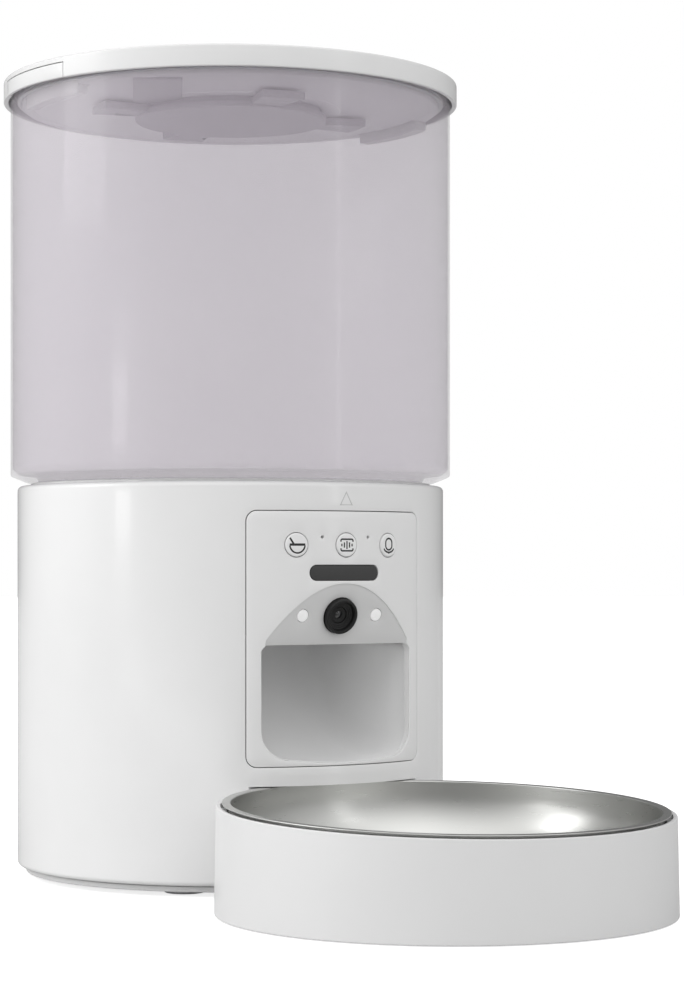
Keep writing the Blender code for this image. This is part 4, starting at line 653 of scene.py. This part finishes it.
def softbox(name, azimuth, distance, height, width, tall, power):
    """A rectangular light that looks at the object. Azimuth 0 is in front, and 90 is at +X."""
    data = bpy.data.lights.new(name, "AREA")
    data.shape = "RECTANGLE"
    data.size = width
    data.size_y = tall
    data.energy = power
    obj = bpy.data.objects.new(name, data)
    obj.location = (*around((0.0, 0.0), distance, math.radians(azimuth)), height)
    towards = Vector((0.0, 0.0, LIGHT_AIM)) - obj.location
    obj.rotation_euler = towards.to_track_quat("-Z", "Y").to_euler()
    bpy.context.scene.collection.objects.link(obj)
    return obj


def sky():
    """Soft light from all round, with broad lobes that fade without an edge."""
    world = bpy.data.worlds.new("studio_world")
    bpy.context.scene.world = world
    world.use_nodes = True
    tree = world.node_tree
    tree.nodes.clear()

    def math_node(operation, first, second):
        node = tree.nodes.new("ShaderNodeMath")
        node.operation = operation
        for socket, value in zip(node.inputs, (first, second)):
            if hasattr(value, "links"):
                tree.links.new(value, socket)
            else:
                socket.default_value = value
        return node.outputs[0]

    towards = tree.nodes.new("ShaderNodeTexCoord").outputs["Generated"]
    total = None
    for azimuth, rise, power, strength in SKY_LOBES:
        side, up = math.radians(azimuth), math.radians(rise)
        dot = tree.nodes.new("ShaderNodeVectorMath")
        dot.operation = "DOT_PRODUCT"
        tree.links.new(towards, dot.inputs[0])
        dot.inputs[1].default_value = (
            math.sin(side) * math.cos(up), -math.cos(side) * math.cos(up), math.sin(up)
        )
        lobe = math_node("POWER", math_node("MAXIMUM", dot.outputs["Value"], 0.0), power)
        lobe = math_node("MULTIPLY", lobe, strength)
        total = math_node("ADD", total or SKY_BASE, lobe)
    lit = tree.nodes.new("ShaderNodeBackground")
    seen = tree.nodes.new("ShaderNodeBackground")
    tree.links.new(total, lit.inputs["Strength"])
    for node in (lit, seen):
        node.inputs["Color"].default_value = (1.0, 1.0, 1.0, 1.0)
    path = tree.nodes.new("ShaderNodeLightPath")
    mix = tree.nodes.new("ShaderNodeMixShader")
    out = tree.nodes.new("ShaderNodeOutputWorld")
    tree.links.new(path.outputs["Is Camera Ray"], mix.inputs[0])
    tree.links.new(lit.outputs[0], mix.inputs[1])
    tree.links.new(seen.outputs[0], mix.inputs[2])
    tree.links.new(mix.outputs[0], out.inputs[0])


def studio():
    softbox("key_softbox", azimuth=-112.0, distance=1.9, height=1.0, width=1.0, tall=1.0, power=7.5)
    softbox("fill_strip", azimuth=26.0, distance=2.0, height=0.6, width=0.12, tall=1.5, power=1.2)
    band = softbox("floor_band", azimuth=-79.0, distance=1.3, height=0.02, width=0.42, tall=2.0, power=4.0)
    band.rotation_euler = (math.radians(180), 0, math.radians(79.0))
    band.visible_camera = False
    band.visible_diffuse = False
    spark = softbox("rim_spark", azimuth=-90.0, distance=1.9, height=0.22, width=0.30, tall=0.14, power=0.5)
    spark.visible_diffuse = False
    sky()
    bpy.context.scene.view_settings.view_transform = "Standard"
    bpy.context.scene.view_settings.look = "None"


def floor():
    ring = circle(0, 0, FLOOR_R, 96)
    verts = [(x, y, -FLOOR_DROP) for x, y in ring]
    obj = new_object("studio_floor", (verts, [tuple(range(len(ring)))]))
    obj.data.materials.append(LOOKS["floor"])


# Body housing
def wall_x(x):
    """Distance round the wall for a point at x."""
    return BODY_R * math.asin(x / BODY_R)


def panel_ring(grow=0.0):
    """The panel's outline, with its width laid out along the wall."""
    half = wall_x(PANEL_HALF) + grow
    return box_ring(-half, half, PANEL_LOW - grow, PANEL_HIGH + grow, PANEL_CORNER + grow)


def housing():
    """The drum and its shoulder. In front, a patch of the wall is filled in round the panel's opening."""
    inside_r = BODY_R - WALL
    patch_low, patch_high, patch_turns = 45.0, 149.0, 17
    profile = rounded(
        [
            (79.0, 156.7, 0.3), (80.6, 156.7, 0.3), (80.6, SHOULDER), (BODY_R, SHOULDER, 2.0),
            (BODY_R, patch_high), (BODY_R, patch_low), (BODY_R, 4.0, 2.0), (inside_r, 4.0),
            (inside_r, patch_low), (inside_r, patch_high), (inside_r, SHOULDER - WALL),
            (79.0, SHOULDER - WALL),
        ],
        True,
    )
    rows = [row for row, (radius, z) in enumerate(profile) if z in (patch_high, patch_low)]
    wall_rows = rows[0], rows[2]

    def skip(turn, row):
        return min(turn, STEPS - 1 - turn) < patch_turns and row in wall_rows

    shell = lathe(profile, closed=True, skip=skip)
    place = on_drum(BODY_R)
    reach = 2 * math.pi / STEPS * BODY_R
    across = [turn * reach for turn in range(-patch_turns, patch_turns + 1)]
    patch = [(u, patch_low) for u in across] + [(u, patch_high) for u in reversed(across)]
    opening = counterclockwise(dense(panel_ring(GAP)))
    front, front_faces = fill(patch, [offset(opening, 0.25)], 2.2)
    back, back_faces = fill(patch, [opening], 2.2)
    shape = join(
        shell,
        ([place(u, v, 0) for u, v in front], front_faces),
        ([place(u, v, WALL) for u, v in back], [face[::-1] for face in back_faces]),
        rim(place, opening, 1, 0.25, WALL),
    )
    obj = new_object("housing_shell", shape)
    alcove = [(0, ALCOVE_ROOF), (ALCOVE_R, ALCOVE_ROOF), (ALCOVE_R, -4.0), (0, -4.0)]
    half, tall = JACK_HALF + GAP, JACK_TALL + GAP
    jack = box_ring(-half, half, 150.0, 165.0)
    carved(obj, lathe(alcove, 256, BOWL), column(jack, JACK_Z - tall, JACK_Z + tall))
    dress(obj, "base", "shell", "housing", "body_housing")


def alcove_liner():
    """The wall and the roof of the recess that takes the tray."""
    half = math.radians(25.5)
    band = arc(BOWL, ALCOVE_R + 0.02, math.pi + half, math.pi - half, 40)
    band += arc(BOWL, 85.7, math.pi - half, math.pi + half, 40)
    half = math.radians(26.0)
    roof = arc(BOWL, 85.6, math.pi + half, math.pi - half, 40)
    half = math.radians(26.5)
    roof += arc(BODY, 84.2, half, -half, 40)
    shape = join(column(band, 4.0, ALCOVE_ROOF + 0.1), column(roof, ALCOVE_ROOF + 0.05, 43.9))
    dress(new_object("alcove_liner", shape), "base", "shell", "housing")


def arch_z(x):
    """Height at which the camera plate cuts the wall's face."""
    return APEX_Z - (BODY_R - math.sqrt(BODY_R**2 - x**2)) / math.tan(TILT)


def arch_points(steps):
    """The arch from right to left, as (x, height)."""
    across = [ARCH_HALF * math.cos(math.pi * k / steps) for k in range(steps + 1)]
    return [(x, arch_z(x)) for x in across]


def mouth_corners():
    """Upright sides, round lower corners and a sill that sags a little."""
    half = MOUTH_HALF + LIP + 0.05
    top, low, sag = MOUTH_TOP, 51.8, 48.7
    return [(-half, top, 3.4), (-half, low, 10.8), (0, sag, SAG_R), (half, low, 10.8), (half, top, 3.4)]


def front_opening():
    """The mouth and the arch over it as one opening in the panel."""
    mouth = rounded(mouth_corners(), True, 5.0)
    lower = [(x, z) for x, z in mouth if abs(x) > ARCH_HALF or z < MOUTH_TOP - 3.0]
    start = max(range(len(lower)), key=lambda k: (lower[k][0] < 0) * lower[k][1])
    lower = lower[start:] + lower[:start]
    return [(wall_x(x), z) for x, z in lower + arch_points(60)]


def window_ring(grow=0.0, taller=0.0):
    half, tall = wall_x(WINDOW_HALF + grow), WINDOW_TALL + taller
    return box_ring(-half, half, WINDOW_Z - tall, WINDOW_Z + tall, 2.7 + taller)


def front_panel():
    holes = [front_opening()]
    for angle in BUTTON_ANGLES:
        holes.append(circle(BODY_R * angle, BUTTON_Z, 4.75))
    for side in (-1, 1):
        holes.append(circle(side * BODY_R * math.radians(6.85), 134.7, 0.62, 20))
    holes.append(window_ring(GAP, 0.2))
    shape = slab(on_drum(BODY_R), panel_ring(), holes, edge=0.22)
    dress(new_object("front_panel_skin", shape), "base", "panel", "panel", "front_panel")


def display():
    shape = slab(on_drum(BODY_R - 0.1), window_ring(), edge=0.15, depth=2.0)
    dress(new_object("display_window_skin", shape), "base", "window", "window", "display_window")


def seat_mark():
    """A small raised triangle on the housing that shows how the tank is set down."""
    place = on_drum(BODY_R - 0.03)
    verts, faces = tube([(-2.6, 146.9), (0.0, 151.7), (2.6, 146.9)], 0.24, 0.5, closed=True)
    shape = [place(u, v, -w) for u, v, w in verts], faces
    dress(new_object("seat_mark", shape), "base", "mark", "housing")


# Buttons and their icons
def bowl_icon():
    stick = tube([(-2.7, 2.65), (-1.15, 0.25)], 0.36, 0.12)
    arc = [math.radians(turn) for turn in range(180, 361, 12)]
    bowl = [(0.25 + 3.0 * math.cos(turn), 0.1 + 3.15 * math.sin(turn)) for turn in arc]
    return join(stick, tube(bowl, 0.31, 0.15, closed=True))


def wave_icon():
    parts = []
    for side in (-1, 1):
        bracket = [(-2.7, side * 1.25), (-2.7, side * 2.2, 0.6), (2.7, side * 2.2, 0.6), (2.7, side * 1.25)]
        parts.append(tube(rounded(bracket, False, 12), 0.31, 0.15))
    for x, half in ((-2.3, 0.5), (-1.15, 1.0), (0.0, 1.5), (1.15, 1.0), (2.3, 0.5)):
        parts.append(tube([(x, -half), (x, half)], 0.28, 0.15))
    return join(*parts)


def microphone_icon():
    capsule = [(-1.75, -1.75, 1.7), (1.75, -1.75, 1.7), (1.75, 2.6, 1.7), (-1.75, 2.6, 1.7)]
    arc = [math.radians(turn) for turn in range(-165, -14, 10)]
    cradle = [(2.8 * math.cos(turn), -0.75 + 1.95 * math.sin(turn)) for turn in arc]
    return join(
        tube(rounded(capsule, True, 12), 0.33, 0.15, closed=True),
        tube(cradle, 0.33, 0.15),
        tube([(0.0, -2.7), (0.0, -3.25)], 0.33, 0.15),
    )


def buttons():
    top = BODY_R + 0.4
    outline = [
        (0, top), (4.45, top, 0.5), (4.45, 85.0), (4.62, 84.9), (4.62, 82.7), (5.6, 82.7), (5.6, 81.5),
        (0, 81.5),
    ]
    icons = (("feed", bowl_icon), ("record", wave_icon), ("talk", microphone_icon))
    for (name, icon), angle in zip(icons, BUTTON_ANGLES):
        cap = moved(lathe(rounded(outline), 64, (0, 0)), radial(angle, BUTTON_Z))
        dress(new_object("cap_" + name, cap), name + "_key", "button", "buttons", "button_" + name)
        lifted = radial(angle, BUTTON_Z) @ Matrix.Translation((0, 0, top))
        dress(new_object("icon_" + name, moved(icon(), lifted)), name + "_key", "ink", "buttons")


# Camera plate and what it carries
def camera_plate():
    steepness = math.cos(TILT)
    ring = [(x, (z - LENS_Z) / steepness) for x, z in arch_points(72)]
    bottom = (MOUTH_TOP - LENS_Z) / steepness
    ring += [(-ARCH_HALF, bottom), (ARCH_HALF, bottom)]
    holes = [circle(EYE_SHIFT, 0, 7.15, 72)]
    holes += [circle(EYE_SHIFT + x, 0, 2.62, 40) for x in (-LAMP_X, LAMP_X)]
    shape = slab(on_plane(plate_matrix()), ring, holes, edge=0.12, depth=2.2)
    dress(new_object("camera_plate_skin", shape), "base", "plate", "camera_plate", "camera_plate")


def camera_eye():
    matrix = plate_matrix() @ Matrix.Translation((EYE_SHIFT, 0, 0))
    outline = [
        (3.25, -0.3), (3.9, -0.1), (4.0, 0.1), (4.6, 0.25), (4.7, 0.45), (5.3, 0.6), (5.45, 1.5, 0.1),
        (5.8, 2.2, 0.15), (6.85, 2.2, 0.5), (6.85, -3.4), (3.25, -3.4),
    ]
    shape = moved(lathe(rounded(outline, True), 96, (0, 0), True), matrix)
    dress(new_object("camera_bezel_rings", shape, 30), "base", "bezel", "bezel", "camera_bezel")
    collar = rounded([(1.5, -0.95), (1.75, -0.7, 0.1), (3.0, -0.55), (3.0, -3.0), (1.5, -3.0)], True)
    shape = moved(lathe(collar, 64, (0, 0), True), matrix)
    dress(new_object("camera_collar", shape), "base", "bezel", "lens")
    glass_r = 1.42
    dome = [(glass_r * k / 6, 0.35 * math.cos(math.pi / 2 * k / 6) - 1.0) for k in range(7)]
    shape = moved(lathe(dome + [(glass_r, -2.9), (0, -2.9)], 48, (0, 0)), matrix)
    dress(new_object("camera_lens_glass", shape), "base", "lens", "lens", "camera_lens")
    window = rounded([(0, 0.16), (2.34, 0.1, 0.2), (2.34, -3.0), (0, -3.0)])
    for name, x in (("left", -LAMP_X), ("right", LAMP_X)):
        shape = moved(lathe(window, 48, (0, 0)), matrix @ Matrix.Translation((x, 0, 0)))
        dress(new_object("ir_lamp_" + name, shape), "base", "ir", "ir_windows", "ir_window_" + name)


# Chute
def evenly(points, steps):
    """The points of a line at that many equal steps along it."""
    lengths = [0.0]
    for before, after in zip(points, points[1:]):
        lengths.append(lengths[-1] + math.dist(before, after))
    line = []
    for step in range(steps + 1):
        reach = lengths[-1] * step / steps
        index = max(i for i, length in enumerate(lengths[:-1]) if length <= reach + 1e-9)
        share = (reach - lengths[index]) / (lengths[index + 1] - lengths[index])
        line.append(tuple(a + (b - a) * share for a, b in zip(points[index], points[index + 1])))
    return line


def bend_ahead(turn, wall):
    return BEND_AHEAD - (BEND_REACH + wall) * math.sin(turn)


def chute_section(turn, wall, front=0.0):
    """One upright cross-section of the duct: down its left side, along its floor and up its right side."""
    ahead = bend_ahead(turn, wall) + front
    low = BEND_Z - (BEND_DROP + wall) * math.cos(turn)
    inward = min(1.0, max(0.0, (LIP_AHEAD - ahead) / 60.0))
    half = MOUTH_HALF - 8.1 * inward + wall
    top = BEND_Z if ahead < ROOF_REAR - wall else MOUTH_TOP + wall
    rise = 3.1 * (1 - inward)
    if top - low - rise < 0.5:
        return [(-half + 2 * half * k / CHUTE_COLUMNS, top) for k in range(CHUTE_COLUMNS + 1)]
    radius = min(10.5 + wall, (top - low - rise) * 0.9)
    dip = [(0, low, SAG_R)] if rise > 0.3 else []
    corners = [(-half, top), (-half, low + rise, radius), *dip, (half, low + rise, radius), (half, top)]
    return evenly(rounded(corners, False, 6.0), CHUTE_COLUMNS)


def chute_shell(wall):
    """One face of the open duct, from the thin lip that lines the panel's edge to the outlet."""
    loops = []
    for lip, radius in ((min(wall, LIP), BODY_R - 0.2), (min(wall, LIP), 83.35), (wall, 83.3)):
        mouth = chute_section(0.0, lip, LIP_AHEAD - BEND_AHEAD)
        loops.append([(x, math.sqrt(radius**2 - x**2), z) for x, z in mouth])
    for step in range(CHUTE_ROWS + 1):
        turn = math.pi / 2 * step / CHUTE_ROWS
        loops.append([(x, bend_ahead(turn, wall), z) for x, z in chute_section(turn, wall)])
    return [[(x, BODY[1] - ahead, z) for x, ahead, z in loop] for loop in loops]


def chute():
    inner = chute_shell(0.0)
    outer = chute_shell(CHUTE_WALL)
    shapes = [stitched(inner, closed=False), stitched(outer, closed=False)]
    for row in (0, -1):
        shapes.append(stitched([inner[row], outer[row]], closed=False))
    for k in (0, -1):
        shapes.append(stitched([[loop[k] for loop in inner], [loop[k] for loop in outer]], closed=False))
    half = MOUTH_HALF - 2.0
    front_y, rear_y = BODY[1] - 76.9, BODY[1] - ROOF_REAR
    roof = [(-half, front_y), (half, front_y), (half - 2.0, rear_y), (2.0 - half, rear_y)]
    shapes.append(column(roof, MOUTH_TOP, MOUTH_TOP + CHUTE_WALL))
    dress(new_object("chute_skin", join(*shapes), 50), "base", "chute", "chute", "chute_scoop")


# Tank, lid and what hangs under the lid
def tank():
    inside_r = TANK_R - TANK_SKIN
    outline = [
        (inside_r, 312.6, 0.3), (TANK_R, 312.6, 0.3), (TANK_R, 159.8, 1.2), (83.1, 157.5, 0.8),
        (81.6, 157.0, 0.2), (78.7, 157.0, 0.4), (*FUNNEL_EDGE, 0.6), FUNNEL_FOOT, (36.0, 128.0, 0.4),
        (33.8, 128.0, 0.4), (33.8, 132.5, 1.5), (76.3, 154.9, 2.0), (78.6, 159.6, 1.5), (85.6, 160.4, 0.5),
        (inside_r, 162.6, 1.0),
    ]
    shape = lathe(rounded(outline, True, 7.5), closed=True)
    dress(new_object("tank_shell", shape), "hopper", "tank", "tank", "hopper_tank")


def notch(side):
    """The gap in the lid's rim that takes a press tab."""
    return sector(87.0, 95.0, side * math.pi / 2, LATCH_HALF + 0.35 / LID_R, 305.0, 315.55)


def lid():
    outline = [
        (0, LID_TOP), (LID_R, LID_TOP, 0.8), (LID_R, 309.5, 0.45), (89.5, 309.5, 0.45), (89.5, 315.5, 0.4),
        (0, 315.5),
    ]
    obj = new_object("lid_cap", lathe(rounded(outline)))
    carved(obj, notch(-1), notch(1))
    dress(obj, "lid", "lid", "lid", "lid_cover")


def latch(name, side):
    """A press tab in the lid's rim, the hook inside the tank and the bridge between them."""
    middle = side * math.pi / 2
    half = LID_R * LATCH_HALF
    tab = slab(on_drum(LID_R, middle), box_ring(-half, half, 309.6, 315.2, 0.3), edge=0.2, depth=1.2)
    half = HOOK_R * LATCH_HALF
    hook = slab(on_drum(HOOK_R, middle), box_ring(-half, half, 304.5, 313.6, 0.5), edge=0.35, depth=5.0)
    bridge = sector(79.0, 90.9, middle, LATCH_HALF, 313.4, 315.15, 40)
    obj = new_object("latch_tab_" + name, join(tab, hook, bridge))
    dress(obj, name + "_latch", "lid", "latches", "latch_" + name)


def liner():
    """The lid's inner plate, with gates for the hooks, and a thin pad stuck under it."""
    outline = [
        (0, 315.2), (38.4, 315.2), (38.4, 309.8), (82.6, 309.8), (82.6, 315.2), (84.2, 315.2),
        (84.2, 308.0, 1.0), (80.0, 308.0, 0.3), (79.4, 308.4, 0.3), (44.6, 308.4, 0.3), (44.0, 308.0, 0.3),
        (36.8, 308.0, 0.4), (36.8, 313.6), (0, 313.6),
    ]
    obj = new_object("liner_plate", lathe(rounded(outline)))
    gate_r = 77.5
    half = LATCH_HALF + 0.6 / gate_r
    carved(obj, *[sector(gate_r, 88.0, side * math.pi / 2, half, 300.0, 320.0) for side in (-1, 1)])
    dress(obj, "lid", "liner", "liner", "lid_liner")
    ring = [(-69.2, 44.8), (-42.6, -4.3), (-30.4, 13.7), (-52.8, 53.4)]
    pad = column([(x, BODY[1] - ahead) for x, ahead in ring], 307.5, 308.6)
    dress(new_object("liner_pad", pad), "lid", "cap", "liner")


def seal():
    outline = [
        (84.3, 311.6, 0.3), (86.25, 311.2, 0.2), (85.5, 310.5), (86.25, 309.8, 0.2), (84.3, 309.5, 0.3),
    ]
    shape = lathe(rounded(outline, True), closed=True)
    dress(new_object("lid_seal_ring", shape), "lid", "silicone", "seal", "lid_seal")


def desiccant():
    """A shallow cap and its four lugs."""
    outline = [
        (0, 305.9), (34.9, 305.9), (34.9, 311.0, 0.3), (36.5, 311.0, 0.3), (36.5, 305.9), (38.7, 305.9, 0.3),
        (38.7, 303.7, 0.6), (0, 303.7),
    ]
    shapes = [lathe(rounded(outline), 128)]
    for index in range(4):
        lug = arc_band(36.0, 56.7, math.radians(90.0 * index - 9.0), math.radians(9.0), 12)
        shapes.append(slab(facing_down(304.5), lug, depth=2.8))
    dress(new_object("desiccant_lid", join(*shapes)), "desiccant", "cap", "desiccant_cap", "desiccant_cap")


# Tray and steel bowl
def leaned(shape):
    """Leans each height in proportion, so the tray's foot stays flat on the floor."""
    verts = [(x, y, z + z / RIM_Z * RIM_SLOPE * (y - BOWL[1])) for x, y, z in shape[0]]
    return verts, shape[1]


def tray():
    outline = [
        (0, 4.2), (79.8, 4.2, 2.0), (79.8, 33.4, 0.5), (78.2, 33.4), (78.2, 35.5, 0.3), (80.4, 35.5, 0.2),
        (80.4, 37.2, 0.3), (82.1, 37.3, 0.4), (82.8, 0, 0.5), (79.8, 0, 0.8), (78.8, 2.0, 0.8), (0, 2.0),
    ]
    shape = leaned(lathe(rounded(outline), centre=BOWL))
    dress(new_object("tray_shell", shape), "tray", "tray", "tray", "bowl_tray")


def bowl():
    outline = [
        (0, -29.7), (76.9, -29.7, 26.0), (76.9, 1.0, 0.45), (80.0, 1.0, 0.25), (80.0, 0.45, 0.25),
        (77.7, 0.45), (77.7, -30.5, 26.8), (0, -30.5),
    ]
    matrix = Matrix.Translation((*BOWL, RIM_Z)) @ Matrix.Rotation(math.atan(RIM_SLOPE), 4, "X")
    shape = moved(lathe(rounded(outline, False, 5.0), centre=(0, 0)), matrix)
    dress(new_object("bowl_dish", shape), "tray", "bowl", "steel_bowl", "steel_bowl")


# Base plate, feet, screws, battery door and power jack
def door_ring(grow=0.0):
    """The battery door's outline, seen from above."""
    half, tall = 49.7 + grow, 30.2 + grow
    return [(u, DOOR_Y + v) for u, v in box_ring(-half, half, -tall, tall, 3.0)]


def base_plate():
    """A disc with holes for the tray, the battery door, the screws and the speaker's sound."""
    outline = rounded([(0, 3.7), (82.6, 3.7, 0.3), (82.6, 1.5, 0.5), (0, 1.5)])
    obj = new_object("base_disc", lathe(outline))
    cuts = [lathe([(0, 8.0), (83.7, 8.0), (83.7, -4.0), (0, -4.0)], STEPS, BOWL)]
    cuts.append(column(door_ring(GAP), -2.0, 6.0))
    for degrees in SCREW_ANGLES.values():
        centre = around(BODY, SCREW_RING_R, math.radians(degrees))
        cuts.append(lathe([(0, 8.0), (1.8, 8.0), (1.8, 3.1), (3.1, 3.1), (3.1, -2.0), (0, -2.0)], 32, centre))
    for x, y in (*circle(*SPEAKER, 7.0, 6), SPEAKER):
        cuts.append(lathe([(0, 8.0), (1.4, 8.0), (1.4, -2.0), (0, -2.0)], 24, (x, y)))
    carved(obj, *cuts)
    dress(obj, "base", "base", "base", "base_plate")


def feet():
    outline = rounded([(0, 1.2), (8.0, 1.2, 0.2), (7.9, 0, 0.9), (5.6, 0, 0.2), (5.3, 0.3, 0.2), (0, 0.3)])
    for name, degrees in FOOT_ANGLES.items():
        shape = lathe(outline, 64, around(BODY, 70.0, math.radians(degrees)))
        dress(new_object("foot_pad_" + name, shape), "base", "foot", "feet", "foot_" + name)


def screws():
    outline = rounded([(0, 15.0), (1.5, 15.0), (1.5, 2.8), (2.8, 2.8, 0.2), (2.8, 1.8, 0.4), (0, 1.8)])
    for name, degrees in SCREW_ANGLES.items():
        x, y = around(BODY, SCREW_RING_R, math.radians(degrees))
        obj = new_object("screw_" + name, lathe(outline, 40, (x, y)))
        cross = []
        for wide, deep in ((0.32, 1.5), (1.5, 0.32)):
            slot = [(x + u, y + v) for u, v in box_ring(-wide, wide, -deep, deep)]
            cross.append(column(slot, 1.0, 2.5))
        carved(obj, *cross)
        dress(obj, "base", "zinc", "screws", "base_screw_" + name)


def battery_door():
    """The door, its thumb grooves and the ribs inside it."""
    obj = new_object("door_plate", slab(facing_down(1.8), door_ring(), (), 0.35, 1.9, 4.0, 4.0))
    grooves = []
    for index in range(6):
        middle = DOOR_Y + 19.5 + 1.5 * index
        grooves.append(column(box_ring(-9.0, 9.0, middle - 0.4, middle + 0.4, 0.35), 1.0, 2.3))
    carved(obj, *grooves)
    ribs = []
    for middle in (DOOR_Y - 17.0, DOOR_Y + 17.0):
        ribs.append(column(box_ring(-40.0, 40.0, middle - 0.75, middle + 0.75), 3.5, 4.9))
    rib = new_object("door_ribs", join(*ribs))
    dress(obj, "door", "base", "base", "battery_door")
    dress(rib, "door", "base", "base")


def power_jack():
    back = BODY[1] + 85.3
    matrix = Matrix(((-1, 0, 0, 0), (0, 0, 1, back), (0, 1, 0, JACK_Z), (0, 0, 0, 1)))
    ring = box_ring(-JACK_HALF, JACK_HALF, -JACK_TALL, JACK_TALL, 0.8)
    block = slab(on_plane(matrix), ring, [circle(0, 0, 3.1, 48)], edge=0.25, depth=14.0)
    socket_floor = moved(lathe([(0, -9.9), (3.4, -9.9), (3.4, -11.0), (0, -11.0)], 40, (0, 0)), matrix)
    dress(new_object("jack_block", join(block, socket_floor)), "base", "black", "jack", "power_jack")
    pin = rounded([(0, -1.6), (0.85, -1.6, 0.5), (0.85, -10.0), (0, -10.0)])
    dress(new_object("jack_pin", moved(lathe(pin, 24, (0, 0)), matrix)), "base", "zinc", "jack")


# Feed deck, chamber cover and rotor
def deck():
    """The deck with the rotor's chamber, and the chamber's cover with its inlet."""
    foot_r, foot_z = FUNNEL_FOOT
    edge_r, edge_z = FUNNEL_EDGE
    slope = (edge_z - foot_z) / (edge_r - foot_r)
    clearance, flange_z, wall = 0.45, 152.8, 2.4

    def cone(radius):
        """Height just under the tank's funnel."""
        return foot_z + (radius - foot_r) * slope - clearance

    brink = foot_r + (flange_z + clearance - foot_z) / slope
    outline = [
        (0, 99.3), (49.5, 99.3, 0.8), (49.5, cone(49.5), 1.0), (brink, flange_z), (83.1, flange_z),
        (83.1, flange_z - wall), (brink, flange_z - wall, 1.0), (51.7, cone(51.7) - wall, 1.0),
        (51.7, 99.3, 0.8), (57.5, 99.3, 0.3), (57.5, 97.3), (0, 97.3),
    ]
    obj = new_object("deck_shell", lathe(rounded(outline)))
    outlet = sector(27.0, 46.0, 0.0, math.radians(30.0), 90.0, 100.3)
    bore = lathe([(0, 104.0), (3.3, 104.0), (3.3, 90.0), (0, 90.0)], 40)
    carved(obj, outlet, bore)
    dress(obj, "base", "deck", "deck", "feed_deck")
    outline = rounded([(0, 127.6), (49.2, 127.6, 0.4), (49.2, 125.6, 0.2), (0, 125.6)])
    obj = new_object("cover_disc", lathe(outline))
    carved(obj, sector(0.0, 33.0, math.pi, math.radians(135.0), 120.0, 130.0, 64))
    dress(obj, "base", "deck", "deck", "chamber_cover")


def rotor():
    hub = [
        (0, 124.6), (5.0, 124.6, 1.0), (9.0, 117.6, 2.0), (9.0, 100.3, 0.3), (3.3, 100.3), (3.3, 118.3),
        (0, 118.3),
    ]
    shapes = [lathe(rounded(hub), 64)]
    blade = rounded([(5.0, -2.0), (47.5, -1.1, 1.0), (47.5, 1.1, 1.0), (5.0, 2.0)], True, 15)
    for index in range(6):
        turn = Matrix.Rotation(math.radians(60.0 * index), 4, "Z")
        shapes.append(moved(column(blade, 100.3, 124.3), Matrix.Translation((*BODY, 0)) @ turn))
    dress(new_object("rotor_star", join(*shapes)), "rotor", "silicone", "rotor", "feed_rotor")


def kept_nodes():
    """The CAD nodes that stay in view get their finished materials."""
    slots = {entry["node"]: entry["material_slot"] for entry in frame["record"]["subparts"]}
    for name, obj in frame["nodes"].items():
        look = SLOT_LOOKS.get(slots.get(name))
        if look:
            for index in range(len(obj.material_slots)):
                obj.material_slots[index].material = LOOKS[look]


camera()
studio()
floor()
housing()
alcove_liner()
front_panel()
display()
seat_mark()
buttons()
camera_plate()
camera_eye()
chute()
tank()
lid()
latch("left", -1)
latch("right", 1)
liner()
seal()
desiccant()
tray()
bowl()
base_plate()
feet()
screws()
battery_door()
power_jack()
deck()
rotor()
kept_nodes()
